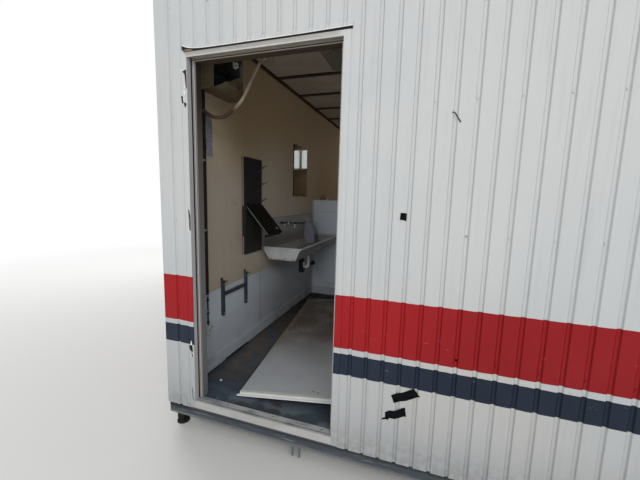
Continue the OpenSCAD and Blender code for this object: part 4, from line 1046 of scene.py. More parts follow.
def ragged_strip(form, corners, cuts, ripple):
    """A torn length of tape on the front wall: corners are its four (x, z), and it rides over
    the sheet with a crumpled edge."""
    near_low, far_low, far_high, near_high = [Vector((x, 0, z)) for x, z in corners]
    rows = 4
    front, back = {}, {}
    for i in range(cuts + 1):
        low, high = near_low.lerp(far_low, i / cuts), near_high.lerp(far_high, i / cuts)
        for j in range(rows + 1):
            point = low.lerp(high, j / rows)
            point.y = -FACE_Y - 0.0012 - 0.0011 * (1 + math.sin(2.1 * i + 1.7 * j))
            if j in (0, rows):
                point.z += ripple * math.sin(7.3 * i + 3.1 * j)
            front[i, j] = form.mesh.verts.new(point)
            back[i, j] = form.mesh.verts.new(point + Vector((0, 0.0008, 0)))
    for i in range(cuts):
        for j in range(rows):
            cell = [(i, j), (i + 1, j), (i + 1, j + 1), (i, j + 1)]
            form.mesh.faces.new([front[at] for at in cell])
            form.mesh.faces.new([back[at] for at in cell[::-1]])
    rim = ([(i, 0) for i in range(cuts)] + [(cuts, j) for j in range(rows)]
           + [(i, rows) for i in range(cuts, 0, -1)] + [(0, j) for j in range(rows, 0, -1)])
    for at, after in zip(rim, rim[1:] + rim[:1]):
        form.mesh.faces.new((front[at], back[at], back[after], front[after]))


def mark_front():
    """Black tape patches, a square patch, and a stub of bent wire on the door end."""
    tape = Form()
    for corners, cuts, ripple in (
            ([(0.195, 0.498), (0.317, 0.559), (0.286, 0.594), (0.178, 0.537)], 9, 0.0022),
            ([(0.155, 0.399), (0.257, 0.437), (0.250, 0.484), (0.153, 0.438)], 9, 0.0040),
            ([(0.139, 0.394), (0.172, 0.402), (0.172, 0.416), (0.139, 0.402)], 4, 0.0010),
            ([(0.172, 1.424), (0.201, 1.421), (0.202, 1.456), (0.173, 1.457)], 4, 0.0012)):
        ragged_strip(tape, corners, cuts, ripple)
    tape.piece("tape_patches", tape_black(), "cladding_paint", smooth=True)
    wire = [(0.366, 0.004, 1.898), (0.368, -0.002, 1.899), (0.376, -0.0032, 1.897),
            (0.386, -0.003, 1.882), (0.395, -0.0028, 1.868), (0.403, -0.003, 1.856)]
    stub = Form().tube(smooth_route([(x, y - FACE_Y, z) for x, y, z in wire]), 0.0022)
    stub.piece("wire_stub", rubber("wire_sheath", 22), "cladding_paint", smooth=True)


# Doorway


def seal_doorway():
    """The rubber seal in the corners of the jambs' rebates."""
    seal = Form()
    stop_y = FRAME_FACE + 0.042
    for x in (FRAME_LEFT + FLANGE, FRAME_RIGHT - FLANGE - 0.003):
        seal.block((x, stop_y - 0.010, FLOOR + 0.008), (x + 0.003, stop_y, FRAME_TOP - FLANGE))
    seal.piece("door_seal", rubber("seal_rubber", 16, 0.25), "frame_cream", edge=0.0008)


def open_head_joint():
    """Over the head the sheet's lip stands off the flange, bent up at its left end, with a
    dark plate for the shadow in the gap under it and a painted highlight along its lower edge.
    The flange's own lower edge is rolled, painted paler as a highlight."""
    left, right, gap_z = FRAME_LEFT + 0.008, FRAME_RIGHT + 0.006, FRAME_TOP - 0.0165
    places = [left + (right - left) * i / 48 for i in range(49)]

    def edge(x, up=0.0):
        bent = 0.026 * math.exp((left - x) / 0.048) + 0.004 * max(0.0, 1 - (right - x) / 0.25)
        return FRAME_TOP - 0.008 + bent + up

    def foot(x):
        return gap_z + max(0.0, 0.018 * (1 - (x - left) / 0.014))

    def run(form, low, low_y, high, high_y, thick):
        for a, b in zip(places, places[1:]):
            form.plate([(a, FRAME_FACE + low_y, low(a)), (b, FRAME_FACE + low_y, low(b)),
                        (b, FRAME_FACE + high_y, high(b)), (a, FRAME_FACE + high_y, high(a))],
                       (0, thick, 0))
        return form

    run(Form(), foot, -0.0006, lambda x: edge(x, 0.002), -0.0006, 0.0005).piece(
        "head_joint_gap", rubber("joint_shadow", 16), "frame_cream")
    foam = [(0.024, 0.013), (0.030, 0.003), (0.066, 0.002), (0.084, 0.006), (0.056, 0.013)]
    Form().plate([(FRAME_LEFT + x, FRAME_FACE - 0.0009, gap_z + z) for x, z in foam],
                 (0, 0.0004, 0)).piece(
        "joint_foam", plain_plastic("old_foam", (132, 112, 86), 0.9), "frame_cream")
    lip = run(Form(), edge, -0.0012, lambda x: edge(x, 0.010), -0.0012, 0.0007)
    run(lip, lambda x: edge(x, 0.010), -0.0012, lambda x: edge(x, 0.026), 0.0038, 0.0007)
    lip.piece("head_joint_lip", lip_paint(), "cladding_paint")
    # Painted highlight: a bright strip along the lip's lower edge
    run(Form(), edge, -0.0028, lambda x: edge(x, 0.0042), -0.0018, 0.0010).piece(
        "head_joint_lip_rim", white_trim("rim_enamel", 236), "cladding_paint")
    roll_z = FRAME_TOP - FLANGE
    # Painted highlight: the rolled edge paler than the head's enamel
    Form().block((FRAME_LEFT + 0.034, FRAME_FACE - 0.0005, roll_z - 0.0070),
                 (FRAME_RIGHT - 0.034, FRAME_FACE + 0.0035, roll_z + 0.001)).piece(
        "head_rolled_edge", white_trim("roll_enamel", 196), "frame_cream", edge=0.0012)


TORN_HINGES = [
    # The upper hinge tore out three pieces, the middle one a slit, the lower one two ragged
    # pieces, as (x, z)
    [(-1.054, 2.194), (-1.048, 2.188), (-1.042, 2.184), (-1.039, 2.176), (-1.036, 2.151),
     (-1.034, 2.120), (-1.031, 2.101), (-1.027, 2.105), (-1.0265, 2.150), (-1.0275, 2.181),
     (-1.029, 2.193), (-1.0262, 2.199), (-1.0262, 2.203), (-1.033, 2.202), (-1.041, 2.199)],
    [(-1.067, 2.065), (-1.065, 2.047), (-1.062, 2.028), (-1.054, 2.022), (-1.051, 2.031),
     (-1.054, 2.046), (-1.056, 2.065)],
    [(-1.048, 2.029), (-1.047, 2.014), (-1.040, 1.999), (-1.031, 2.020), (-1.037, 2.029)],
    [(-1.0400, 1.424), (-1.0372, 1.392), (-1.0350, 1.370), (-1.0358, 1.340), (-1.0350, 1.306),
     (-1.0268, 1.306), (-1.0262, 1.340), (-1.0262, 1.374), (-1.0280, 1.398), (-1.0340, 1.432)],
    [(-1.059, 0.586), (-1.061, 0.572), (-1.058, 0.558), (-1.043, 0.546), (-1.038, 0.542),
     (-1.035, 0.554), (-1.037, 0.576), (-1.039, 0.591), (-1.048, 0.593)],
    [(-1.052, 0.535), (-1.045, 0.519), (-1.039, 0.515), (-1.034, 0.522), (-1.037, 0.530),
     (-1.044, 0.538)]]
# Slivers of torn flange: x and z of the root, the way it points in x and z, length and width
SLIVERS = [
    (-1.0400, 2.105, -0.05, 1.0, 0.062, 0.006), (-1.0440, 2.092, 0.1, -1.0, 0.034, 0.013),
    (-1.0470, 2.052, -0.10, -1.0, 0.022, 0.008), (-1.0560, 2.196, -0.5, 0.8, 0.016, 0.007),
    (-1.0405, 1.300, -0.01, 1.0, 0.105, 0.006), (-1.0455, 0.590, 0.1, 1.0, 0.034, 0.014),
    (-1.0500, 0.534, 0.20, -1.0, 0.026, 0.009), (-1.0290, 0.524, -0.1, 1.0, 0.020, 0.009)]


def tear_out_hinges():
    """Where the leaf was torn off: holes in the left flange, black for the shade in them, and
    curled slivers of it.
    """
    y = FRAME_FACE - 0.0004
    # Painted shade: black plates in the torn holes
    holes = Form()
    for outline in TORN_HINGES:
        holes.plate([(x, y, z) for x, z in outline], (0, 0.006, 0))
    holes.piece("torn_hinge_holes", rubber("torn_dark", 14), "frame_cream")
    slivers = Form()
    reach = FRAME_FACE - cad_box[0].y - 0.002
    for x, z, way_x, way_z, length, width in SLIVERS:
        way = Vector((way_x, 0, way_z)).normalized()
        slivers.curl((x, y, z), way, Vector((0, -1, 0)).cross(way), length, width,
                     min(0.9, 2 * reach / length))
    slivers.piece("torn_hinge_slivers", white_trim("sliver_enamel", 226), "frame_cream")
    # Painted shade: a black slit low on the flange
    slit = Form()
    for (ax, az), (bx, bz) in (((-1.0480, 0.304), (-1.0440, 0.223)),
                               ((-1.0440, 0.2235), (-1.0300, 0.2235))):
        slit.plate([(ax, y, az), (bx, y, bz), (bx + 0.0036, y, bz + 0.0032), (ax + 0.0036, y, az)],
                   (0, 0.0005, 0))
    slit.piece("foot_slit", rubber("slit_dark", 18), "frame_cream")


def dress_threshold():
    """The dark line along the threshold, and its countersunk screws."""
    low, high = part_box("door_sill")
    x0, x1, y, z = low.x + 0.040, high.x - 0.040, FRAME_FACE, high.z
    Form().block((x0, y + 0.012, z - 0.0006), (x1, y + 0.0150, z + 0.0004)).piece(
        "threshold_seal_line", rubber("threshold_rubber", 34), "frame_cream")
    heads = Form()
    for i in range(6):
        heads.rod((x0 + 0.06 + (x1 - x0 - 0.12) * i / 5, y + 0.034, z - 0.001), (0, 0, 0.0016),
                  0.0055, 20)
    heads.piece("threshold_screws", worn_metal("threshold_zinc", (140, 140, 138), 0.5),
                "frame_cream", edge=0.0003)


# What lies in the doorway


def on_leaf(across, along, up=LEAF_THICK):
    """A place on the loose leaf, by its own axes from its near left corner."""
    turn = Matrix.Rotation(LEAF_TURN[2], 3, "Z") @ Matrix.Rotation(LEAF_TURN[1], 3, "Y")
    return Vector(LEAF_CORNER) + turn @ Vector((across, along, up))


LEAF_UP = on_leaf(0, 0, 1) - on_leaf(0, 0, 0)


def leaf_strip(form, left, right, near, far, up, thick):
    corners = ((left, near), (right, near), (right, far), (left, far))
    form.plate([on_leaf(*corner, up) for corner in corners], LEAF_UP * thick)


def dress_leaf():
    """Two screw holes near the leaf's end, black for the shade in them, the folds of its channels
    and rivets in them, and a black strip under its edges for their contact shadow."""
    holes, folds, seal, rivets = Form(), Form(), Form(), Form()
    # Painted shade: black discs in the screw holes
    for across, along in ((0.496, 0.083), (0.528, 0.071)):
        holes.rod(on_leaf(across, along, LEAF_THICK - 0.0025), LEAF_UP * 0.0016, 0.0052)
    holes.piece("leaf_screw_holes", rubber("hole_dark", 18), "leaf_white")
    for near, far in ((NEAR_FOLD - 0.0012, NEAR_FOLD + 0.0006),
                      (FAR_FOLD - 0.0006, FAR_FOLD + 0.0012)):
        leaf_strip(folds, LEAF_LIP + 0.002, LEAF_WIDE - LEAF_LIP - 0.002, near, far, LEAF_THICK,
                   0.0006)
    folds.piece("leaf_channel_folds", worn_metal("channel_metal", (196, 196, 192), 0.35),
                "leaf_white")
    # Painted shadow: a black strip under the near and left edges, where they meet the floor
    leaf_strip(seal, 0, LEAF_WIDE, -0.001, 0.004, 0.0005, 0.0045)
    leaf_strip(seal, -0.001, 0.004, 0, LEAF_LONG, 0.0005, 0.0045)
    seal.piece("leaf_foot_seal", rubber("foot_seal", 16), "leaf_white")
    for i in range(6):
        across = LEAF_LIP + 0.05 + i * (LEAF_WIDE - 2 * LEAF_LIP - 0.10) / 5
        for along in (NEAR_FOLD - CHANNEL_WIDE / 2, FAR_FOLD + CHANNEL_WIDE / 2):
            rivets.rod(on_leaf(across, along), LEAF_UP * 0.0009, 0.0034, 14, 0.0020)
    rivets.piece("leaf_channel_rivets", plain_plastic("channel_rivet_enamel", (190, 194, 188)),
                 "leaf_white")


def scatter_crumbs(name, low, high, count, size, seed, finish):
    """Crumbs of dirt lying over a patch of floor between two corners, as (x, y)."""
    recipe = Recipe(name, Width=high[0] - low[0], Length=high[1] - low[1], Count=count,
                    Smallest=size * 0.35, Largest=size, Seed=seed,
                    Middle=((low[0] + high[0]) / 2, (low[1] + high[1]) / 2, FLOOR))
    given = recipe.inputs
    patch = recipe.add("MeshLine", Count=given.Count, Offset=(0.0, 0.0, 0.0))
    corner = recipe.vector(X=recipe.work_out("MULTIPLY", given.Width, 0.5),
                           Y=recipe.work_out("MULTIPLY", given.Length, 0.5))
    other = recipe.add("ShaderNodeVectorMath", {0: corner}, Scale=-1.0, operation="SCALE")
    spread = recipe.chance("FLOAT_VECTOR", 0, {0: other, 1: corner})
    thrown = recipe.add("SetPosition", Geometry=patch, Offset=spread)
    crumb = recipe.add("MeshIcoSphere", Radius=1.0, Subdivisions=1)
    flat = recipe.add("Transform", Geometry=crumb, Scale=(1.0, 0.75, 0.45))
    scale = recipe.chance("FLOAT", 1, {2: given.Smallest, 3: given.Largest})
    spin = recipe.vector(Z=recipe.chance("FLOAT", 1, {2: 0.0, 3: 6.28}))
    strewn = recipe.add("InstanceOnPoints", Points=thrown, Instance=flat, Scale=scale,
                        Rotation=spin)
    moved = recipe.add("Transform", Geometry=strewn, Translation=given.Middle)
    dress(name, recipe.run(moved, finish), finish)


def litter_floor():
    """Crumbs along the wall and in the doorway, a black strip for the shade in the gap under the
    skirting, a dropped cap.
    """
    soil = plain_plastic("soil", (104, 90, 74), 0.9)
    scatter_crumbs("floor_crumbs", (-1.15, -2.38), (-0.88, -1.0), 110, 0.0045, 3, soil)
    scatter_crumbs("doorway_crumbs", (-0.95, -2.41), (-0.18, -2.33), 60, 0.004, 5, soil)
    # Painted shade: a black strip in the gap under the skirting
    Form().block((LINING + 0.011, -1.985, FLOOR), (LINING + 0.0130, -1.655, FLOOR + 0.010)).piece(
        "skirting_foot_gap", rubber("gap_dark", 16), "grey_lining")
    Form().rod((-1.022, -2.242, FLOOR), (0, 0, 0.004), 0.011, 14, 0.009).piece(
        "dropped_cap", plain_plastic("cap_plastic", (196, 204, 206)), "floor_covering")


# Fittings on the left wall


# What hangs in the box's mouth, from its far upper corner, as (x, z)
TERMINAL = [(-0.045, -0.036), (-0.038, -0.034), (-0.033, -0.050), (-0.024, -0.052),
            (-0.018, -0.040), (-0.010, -0.044), (-0.012, -0.058), (-0.006, -0.072),
            (-0.020, -0.074), (-0.030, -0.080), (-0.041, -0.078), (-0.045, -0.060)]
# The skin torn off along the top of the box's cover, as (y, z)
TORN_SKIN = [
    (-2.180, 2.209), (-2.150, 2.232), (-2.135, 2.246), (-2.104, 2.268), (-2.078, 2.286),
    (-2.043, 2.287), (-2.004, 2.281), (-1.958, 2.278), (-1.941, 2.266), (-1.965, 2.258),
    (-2.020, 2.252), (-2.072, 2.250), (-2.100, 2.233), (-2.128, 2.218), (-2.160, 2.209)]


def dress_fuse_box():
    """Rail and breakers in the dark of the open casing, and a pale terminal by its mouth."""
    low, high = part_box("fuse_box")
    back, rail = low.x + 0.003, low.z + 0.19
    gear = Form().block((back, low.y + 0.02, rail - 0.0175),
                        (back + 0.012, high.y - 0.02, rail + 0.0175))
    # Of the nine places on the rail two are empty
    for i in (0, 1, 2, 4, 5, 6, 8):
        y = low.y + 0.035 + i * 0.0235
        gear.block((back + 0.008, y, rail - 0.040), (back + 0.060, y + 0.018, rail + 0.040))
        gear.block((back + 0.058, y + 0.006, rail - 0.006), (back + 0.072, y + 0.012, rail + 0.010))
    gear.piece("breakers", plain_plastic("breaker_plastic", (46, 44, 42)), "box_beige", edge=0.001)
    wires = Form()
    for i in range(5):
        y = low.y + 0.045 + i * 0.044
        wires.tube(smooth_route([
            (back + 0.03, y, rail + 0.038), (back + 0.034, y + 0.004, rail + 0.062),
            (back + 0.03, y + 0.014 * math.sin(i), rail + 0.084),
            (back + 0.01, y + 0.01, high.z - 0.008)]), 0.0022, 6)
    wires.piece("breaker_wires", rubber("wire_black", 24), "box_beige", smooth=True)
    face = high.y - 0.060
    Form().plate([(high.x + x, face, high.z + z) for x, z in TERMINAL], (0, 0.022, 0)).piece(
        "pale_terminal", plain_plastic("terminal_plastic", (240, 232, 222)), "box_beige")
    # Painted shade: black discs in the terminal's holes
    holes = Form()
    for x, z, radius in ((-0.022, -0.062, 0.004), (-0.035, -0.066, 0.003)):
        holes.rod((high.x + x, face - 0.001, high.z + z), (0, 0.002, 0), radius, 12)
    holes.piece("terminal_holes", rubber("terminal_dark", 16), "box_beige")
    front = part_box("fuse_box_cover")[1].x
    Form().plate([(front, y, z) for y, z in TORN_SKIN], (0.0008, 0, 0)).piece(
        "torn_cover_skin", plain_plastic("shard_plastic", (140, 136, 112), 0.6), "box_beige")


def dress_trunk():
    """Saddle clips with bright screws, the cap at the trunk's foot, cable clips and a blank card."""
    low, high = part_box("wall_socket")
    y = (low.y + high.y) / 2
    clips, cable = Form(), Form()
    for z in (1.751, 1.272, 0.688):
        base, front = WALL_IN if z > WAINSCOT_TOP else LINING, WALL_IN + 0.014
        for x, deep, near, far in ((base, 0.0018, -0.0215, -0.0120), (base, 0.0018, 0.0120, 0.0215),
                                   (front, 0.0016, -0.0135, 0.0135),
                                   (base, front + 0.0016 - base, -0.0136, -0.0120),
                                   (base, front + 0.0016 - base, 0.0120, 0.0136)):
            clips.block((x, y + near, z - 0.008), (x + deep, y + far, z + 0.008))
        clips.rod((front + 0.001, y, z), (0.0032, 0, 0), 0.0045, 16, 0.0025)
    clips.piece("trunk_clips", worn_metal("clip_steel", (206, 206, 204), 0.25), "dark_strip",
                edge=0.0004)
    Form().block((LINING, y - 0.0135, 0.793), (WALL_IN + 0.0152, y + 0.0135, 0.805)).piece(
        "trunk_foot_cap", plain_plastic("foot_cap_plastic", (170, 166, 158)), "dark_strip",
        edge=0.001)
    Form().tube([(LINING + 0.0045, y, 0.795), (LINING + 0.0045, y, 0.560)], 0.0062, 12).piece(
        "cable_sleeve", rubber("sleeve_black", 18, 0.2), "dark_strip", smooth=True)
    for z in (0.765, 0.665, 0.600):
        cable.block((LINING, y - 0.0105, z - 0.006), (LINING + 0.0125, y + 0.0105, z + 0.006))
    cable.piece("cable_clips", plain_plastic("cable_clip_plastic", (60, 58, 56)), "dark_strip",
                edge=0.0012)
    Form().block((WALL_IN, -2.150, 1.769), (WALL_IN + 0.0012, -2.080, 2.052)).piece(
        "blank_card", card_face(), "beige_lining")


def dress_socket():
    """Pin holes and the ring of a round surface socket."""
    low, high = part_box("wall_socket")
    middle = (low + high) / 2
    rim = ring((high.x, middle.y, middle.z), 0.032, 40, (0, 1, 0), (0, 0, 1))
    Form().tube(rim, 0.0022).piece(
        "socket_ring", plain_plastic("socket_ring_plastic", (188, 190, 190), 0.3),
        "socket_plastic", smooth=True)
    # Painted shade: black discs in the pin holes
    holes = Form()
    for y, z, deep, radius in ((-0.0095, 0.0, 0.0015, 0.0027), (0.0095, 0.0, 0.0015, 0.0027),
                               (0.0, -0.0005, 0.0022, 0.0032)):
        holes.rod((high.x - 0.009, middle.y + y, middle.z + z), (deep, 0, 0), radius, 14)
    holes.piece("socket_holes", rubber("socket_dark", 20), "socket_plastic")


# The board's flap: its slope below level, half its thickness, and its edge strip's length
FLAP_SLOPE = math.radians(49)
FLAP_HALF = 0.006
EDGE_STRIP_LONG = 0.308


def dress_board():
    """Hinge knuckles, a bright strip along the flap's edge as its painted highlight, its latch,
    the board's brown back edge on its near side, and a round mark on it."""
    low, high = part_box("board_flap")
    length = high.y - low.y
    hinge = Vector((WALL_IN + 0.0203, low.y, high.z - 0.006))
    down = Vector((math.cos(FLAP_SLOPE), 0, -math.sin(FLAP_SLOPE)))
    out = Vector((math.sin(FLAP_SLOPE), 0, math.cos(FLAP_SLOPE)))
    a = hinge - out * FLAP_HALF
    b = a + down * EDGE_STRIP_LONG
    # Painted highlight: a bright metal strip along the flap's near edge
    strip = Form()
    for inner, outer, wide in ((0.0085, 0.0125, -0.0016), (0.0120, 0.0132, 0.004)):
        strip.plate([a + out * inner, b + out * inner, b + out * outer, a + out * outer],
                    (0, wide, 0))
    strip.piece("flap_edge_strip", worn_metal("edge_alloy", (178, 176, 170), 0.3), "black_board")
    board_low, board_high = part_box("wall_board")
    Form().block((WALL_IN, board_low.y - 0.0025, board_low.z),
                 (WALL_IN + 0.0045, board_low.y, board_high.z)).piece(
        "board_near_side", plain_plastic("side_brown", (84, 62, 52), 0.6), "black_board")
    knuckles = Form()
    for i in range(3):
        y = low.y + length * (0.12 + 0.33 * i)
        knuckles.rod((hinge.x, y, hinge.z + 0.004), (0, 0.040, 0), 0.0062, 14)
        knuckles.block((WALL_IN + 0.014, y, hinge.z), (WALL_IN + 0.0156, y + 0.040, hinge.z + 0.030))
    knuckles.piece("flap_hinges", worn_metal("hinge_steel", (40, 38, 36), 0.5), "black_board",
                   edge=0.0005)
    spot = hinge + down * 0.262 + out * FLAP_HALF + Vector((0, length * 0.80, 0))
    half, tall, grip = Vector((0, 0.018, 0)), down * 0.012, Vector((0, 0.010, 0))
    latch = Form().plate([spot - half - tall, spot + half - tall, spot + half + tall,
                          spot - half + tall], out * 0.0016)
    latch.tube(smooth_route([spot - grip, spot - grip + out * 0.012, spot + grip + out * 0.012,
                             spot + grip]), 0.0022)
    latch.piece("flap_latch", worn_metal("latch_steel", (196, 196, 194), 0.25), "black_board")
    mark = Form().rod((WALL_IN + 0.014, -1.441, 1.731), (0.0022, 0, 0), 0.010, 24)
    mark.rod((WALL_IN + 0.016, -1.441, 1.731), (0.001, 0, 0), 0.004)
    mark.piece("board_plug", plain_plastic("plug_plastic", (82, 80, 78)), "black_board",
               edge=0.0006)


def dress_mirror():
    """Clips that hold the mirror, and the dark edge along its near side."""
    low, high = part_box("wall_mirror")
    clips = Form()
    for y in (low.y + 0.08, high.y - 0.08):
        for z, under, over in ((low.z, 0.010, 0.0), (high.z, 0.0, 0.010)):
            clips.block((low.x, y - 0.008, z - under), (high.x + 0.0015, y + 0.008, z + over))
            clips.block((high.x, y - 0.008, z - 0.008), (high.x + 0.002, y + 0.008, z + 0.008))
    clips.piece("mirror_clips", worn_metal("mirror_clip_chrome", (200, 200, 200), 0.2),
                "mirror_glass", edge=0.0006)
    Form().block((low.x, low.y - 0.006, low.z), (high.x + 0.001, low.y, high.z)).piece(
        "mirror_near_edge", rubber("edge_dark", 34), "mirror_glass")


def dress_trough():
    """Waste grid, sealant along the trough's back and nuts on the trap."""
    low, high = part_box("wash_trough")
    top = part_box("waste_trap")[1].z
    centre = Vector((*WASTE_PIPE, top + 0.006))
    grid = Form()
    for radius in (0.0145, 0.0085):
        grid.tube(ring(centre, radius, 32), 0.0017, 6)
    for i in range(6):
        reach = Vector((math.cos(math.pi * i / 6), math.sin(math.pi * i / 6), 0)) * 0.0145
        grid.tube([centre - reach, centre + reach], 0.0013, 6)
    grid.piece("waste_grid", worn_metal("grid_steel", (188, 188, 186), 0.3), "trough_white",
               smooth=True)
    Form().block((WALL_IN, low.y, high.z - 0.001), (WALL_IN + 0.0125, high.y, high.z + 0.003)).piece(
        "splash_back_bead", plain_plastic("trough_sealant", (128, 122, 112), 0.7),
        "trough_white", edge=0.0012)
    nuts = Form().rod((*WASTE_PIPE, top - 0.026), (0, 0, 0.020), 0.024, 12)
    nuts.rod((*TRAP_CUP, 0.815), (0, 0, 0.019), 0.0325, 24)
    nuts.rod((*TRAP_CUP, 0.704), (0, 0, 0.018), 0.0325, 24)
    nuts.piece("trap_nuts", rubber("nut_black", 30), "waste_plastic", edge=0.001)


def lay_supply():
    """The dark supply pipe along the splash back, and the pale dispenser by the far tap."""
    pipe = Form().tube(smooth_route([
        (-1.158, -1.000, 1.246), (-1.157, -0.890, 1.240), (-1.157, -0.700, 1.224),
        (-1.157, -0.480, 1.208), (-1.158, -0.300, 1.200)]), 0.0065, 10)
    for y, z in ((-0.960, 1.2440), (-0.590, 1.2160)):
        pipe.block((WALL_IN + 0.012, y - 0.006, z - 0.012), (-1.150, y + 0.006, z + 0.012))
    pipe.piece("supply_pipe", rubber("pipe_lagging", 40), "tap_chrome", smooth=True)
    outline = [(-1.167, 1.207), (-1.100, 1.213), (-1.058, 1.140), (-1.038, 1.060),
               (-1.039, 0.952), (-1.060, 0.943), (-1.167, 0.940)]
    Form().plate([(x, -0.305, z) for x, z in outline], (0, 0.075, 0)).piece(
        "soap_dispenser", plain_plastic("dispenser_plastic", (152, 154, 170), 0.4),
        "tap_chrome", edge=0.008)


def dress_bench():
    """Bolts through the uprights of the bench bracket, and the ears on top of them."""
    low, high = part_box("bench_bracket")
    bolts, ears = Form(), Form()
    for y in (low.y + 0.011, high.y - 0.011):
        for z in (low.z + 0.020, high.z - 0.024):
            bolts.rod((high.x, y, z), (0.0015, 0, 0), 0.0085, 20)
            bolts.rod((high.x + 0.001, y, z), (0.005, 0, 0), 0.0058, 6)
        ears.block((low.x, y - 0.013, high.z), (low.x + 0.048, y + 0.013, high.z + 0.004))
        ears.block((low.x, y - 0.013, high.z + 0.003), (low.x + 0.003, y + 0.013, high.z + 0.026))
    bolts.piece("bench_bolts", worn_metal("bolt_zinc", (182, 184, 184), 0.3), "bracket_blue",
                edge=0.0005)
    ears.piece("bench_ears", bracket_paint(), "bracket_blue", edge=0.0006)


def leave_bits_on_partition():
    """The partition's skirting, and leftovers of fittings on its top: a bent strap, a stub
    and a peg."""
    low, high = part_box("half_partition")
    top, y = high.z, (low.y + high.y) / 2
    Form().block((LINING + 0.012, low.y - 0.012, FLOOR), (high.x, low.y, FLOOR + SKIRTING_TALL)).piece(
        "partition_skirting", grey_lining(), "grey_lining", edge=0.001)
    bend = [(-1.068, 0.0), (-1.064, 0.030), (-1.046, 0.056), (-1.022, 0.060), (-1.006, 0.036),
            (-1.000, 0.0)]
    strap = Form().tube(smooth_route([(x, y, top + z) for x, z in bend]), 0.0055)
    strap.block((-1.056, y - 0.010, top), (-1.008, y + 0.010, top + 0.034))
    strap.piece("partition_strap", plain_plastic("strap_plastic", (134, 92, 84)), "grey_lining",
                edge=0.003)
    Form().rod((-1.070, y, top), (0, 0, 0.026), 0.006, 14).piece(
        "partition_stub", rubber("stub_dark", 34), "grey_lining", edge=0.0006)
    peg = Form().rod((-0.972, y, top), (0, 0, 0.018), 0.007, 14)
    peg.ball((-0.972, y, top + 0.020), 0.009)
    peg.piece("partition_peg", plain_plastic("peg_plastic", (214, 214, 210)), "grey_lining",
              smooth=True)


# Ceiling, window, roof and chassis


def dress_ceiling():
    """Screws along the ceiling strips and the end caps of the light."""
    low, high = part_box("ceiling_light")
    caps, screws = Form(), Form()
    for y0, y1 in ((low.y - 0.002, low.y + 0.020), (high.y - 0.020, high.y + 0.002)):
        caps.block((low.x - 0.002, y0, low.z - 0.002), (high.x + 0.002, y1, high.z))
    caps.piece("light_end_caps", plain_plastic("end_cap_plastic", (160, 156, 148)), "light_body",
               edge=0.006)
    strip_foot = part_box("ceiling_strips")[1].z - 0.010
    for i in range(9):
        y = -FACE_Y + 0.325 + i * 0.555
        for k in range(6):
            x = -1.0 + 0.4 * k
            under_light = low.x - 0.01 < x < high.x + 0.01 and low.y < y < high.y
            if y < FACE_Y - 0.08 and not under_light:
                screws.rod((x, y, strip_foot), (0, 0, -0.0018), 0.005, 12, 0.003)
    screws.piece("ceiling_strip_screws", worn_metal("strip_screws_zinc", (120, 112, 100), 0.45),
                 "dark_strip")


def dress_window():
    """Gaskets round the two panes, inside and out, and a catch on the inside."""
    low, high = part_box("window_panes")
    frame_low, frame_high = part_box("window_frame")
    bar, mullion, band = 0.035, 0.030, 0.006
    pane_w = ((frame_high.x - frame_low.x) - 2 * bar - mullion) / 2
    z0, z1 = frame_low.z + bar, frame_high.z - bar
    gasket, catch = Form(), Form()
    for side in (-1, 1):
        x0 = side * (pane_w + mullion) / 2 - pane_w / 2
        x1 = x0 + pane_w
        for y0, y1 in ((low.y - 0.006, low.y), (high.y, high.y + 0.006)):
            for a, b, c, d in ((x0, x0 + band, z0, z1), (x1 - band, x1, z0, z1),
                               (x0 + band, x1 - band, z0, z0 + band),
                               (x0 + band, x1 - band, z1 - band, z1)):
                gasket.block((a, y0, c), (b, y1, d))
    gasket.piece("window_gaskets", rubber("gasket_rubber", 26), "trim_white", edge=0.001)
    y, z = frame_low.y, (frame_low.z + frame_high.z) / 2
    for half, y0, y1, z0, z1 in ((0.009, -0.004, 0.0, -0.035, 0.035),
                                 (0.006, -0.018, -0.003, -0.006, 0.006),
                                 (0.007, -0.022, -0.014, -0.050, 0.008)):
        catch.block((-half, y + y0, z + z0), (half, y + y1, z + z1))
    catch.piece("window_catch", worn_metal("catch_alloy", (170, 170, 168), 0.35), "trim_white",
                edge=0.0015)


def dress_roof():
    """Rivets along the fascias."""
    side, end = FACE_X + 0.003, FACE_Y + 0.003
    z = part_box("roof_fascia")[0].z + 0.030
    rivets = Form()
    for face in (-1, 1):
        for i in range(9):
            x = 0.08 - side + i * (2 * side - 0.16) / 8
            rivets.rod((x, face * end, z), (0, face * 0.0018, 0), 0.0045, 12, 0.002475)
        for i in range(17):
            y = 0.10 - end + i * (2 * end - 0.20) / 16
            rivets.rod((face * side, y, z), (face * 0.0018, 0, 0), 0.0045, 12, 0.002475)
    rivets.piece("fascia_rivets", worn_metal("rivet_alloy", (184, 186, 186), 0.35), "trim_white")


def dress_chassis():
    """Bolts that hold the feet's plates, and weld beads where the posts meet the rails."""
    low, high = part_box("feet")
    inset, half = 0.040, 0.026
    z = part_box("end_rails")[0].z - 0.002
    bolts, welds = Form(), Form()
    for x in (low.x + inset, high.x - inset):
        for y in (low.y + inset, 0.0, high.y - inset):
            for at in ring((x, y, 0.008), 0.0325, 4)[:4]:
                bolts.rod(at, (0, 0, 0.004), 0.0050, 6)
            corners = ((-half, -half), (half, -half), (half, half), (-half, half), (-half, -half))
            welds.tube([(x + a, y + b, z) for a, b in corners], 0.0035, 6)
    bolts.piece("foot_bolts", worn_metal("foot_bolt_steel", (92, 86, 80), 0.6), "foot_steel")
    welds.piece("foot_welds", chassis_steel(), "chassis_steel", smooth=True)


# Stage


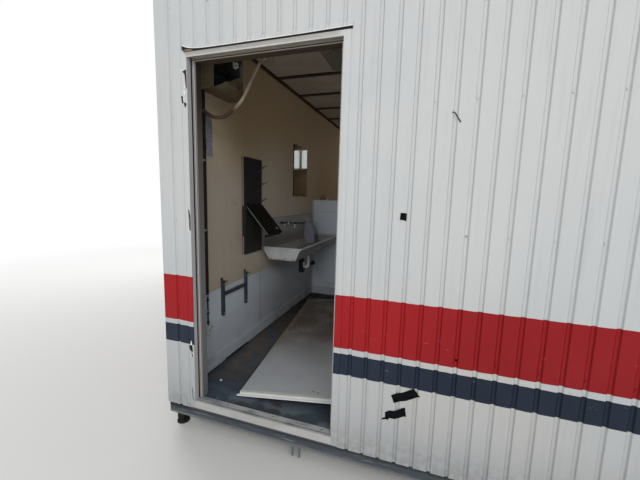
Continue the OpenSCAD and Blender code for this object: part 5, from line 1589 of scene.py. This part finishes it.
# Each lamp's place, what it looks at, its width and its power
LAMPS = {
    "front_light": ((-0.3, -8.8, 2.9), (-0.5, -2.4, 1.2), 3.4, 112),
    "right_light": ((4.9, -10.3, 6.9), (-0.3, -2.4, 1.2), 5.0, 350),
    "side_light": ((-6.5, 1.5, 4.5), (0, 0, 1.2), 4.0, 230),
    "back_light": ((5.5, 6.0, 5.0), (0, 0, 1.2), 4.0, 280),
    "room_light": ((0.95, -0.6, 2.0), (-1.18, -0.95, 1.5), 0.8, 2.4),
    "far_window_light": ((0.0, 2.34, 2.3), (-0.4, -1.0, 1.4), 0.42, 5)}


def set_stage():
    """A plain pale floor that fades to white for the eye, a white surround and soft light."""
    ground = bpy.data.meshes.new("stage_floor")
    reach = 60.0
    ground.from_pydata([(-reach, -reach, 0), (reach, -reach, 0), (reach, reach, 0),
                        (-reach, reach, 0)], [], [(0, 1, 2, 3)])
    pale = Finish("stage_pale", (220, 220, 218), 0.9)
    ground.materials.append(pale.done())
    apart = pale.value("VectorMath", {0: pale.place}, "Value", operation="LENGTH")
    fade = pale.value("LightPath", output="Is Camera Ray") * apart(2.6, 9.0)
    glow = pale.add("Emission", Color=(1.0, 1.0, 1.0), Strength=1.0)
    blend = pale.add("MixShader", {0: fade, 1: pale.shader.outputs[0], 2: glow})
    pale.join(blend, pale.tree.nodes["Material Output"].inputs["Surface"])
    stand("stage_floor", ground)

    world = bpy.data.worlds.new("surround")
    bpy.context.scene.world = world
    world.use_nodes = True
    sky = Wiring(world.node_tree)
    eye, glossy, through = (sky.value("LightPath", output=f"Is {ray} Ray")
                            for ray in ("Camera", "Glossy", "Transmission"))
    level = sky.add("MapRange", {"To Min": 0.50, "To Max": 1.0}, Value=eye | glossy | through)
    back = sky.tree.nodes["Background"].inputs
    sky.join((1.0, 1.0, 1.0), back["Color"])
    sky.join(level, back["Strength"])

    for name, (place, target, size, power) in LAMPS.items():
        lamp = bpy.data.lights.new(name, "AREA")
        lamp.shape, lamp.size, lamp.energy = "DISK", size, power
        holder = stand(name, lamp)
        holder.location = place
        way = Vector(target) - Vector(place)
        holder.rotation_euler = way.to_track_quat("-Z", "Y").to_euler()
        holder.visible_camera = holder.visible_glossy = False
    bpy.context.scene.view_settings.view_transform = "Standard"


place_camera()
hang_conduit()
lay_finishes()
for dress_part in (
        drive_screws, lap_sheets, mark_front, seal_doorway, open_head_joint, tear_out_hinges,
        dress_threshold, dress_leaf, litter_floor, dress_fuse_box, dress_trunk, dress_socket,
        dress_board, dress_mirror, dress_trough, lay_supply, dress_bench, leave_bits_on_partition,
        dress_ceiling, dress_window, dress_roof, dress_chassis):
    dress_part()
set_stage()
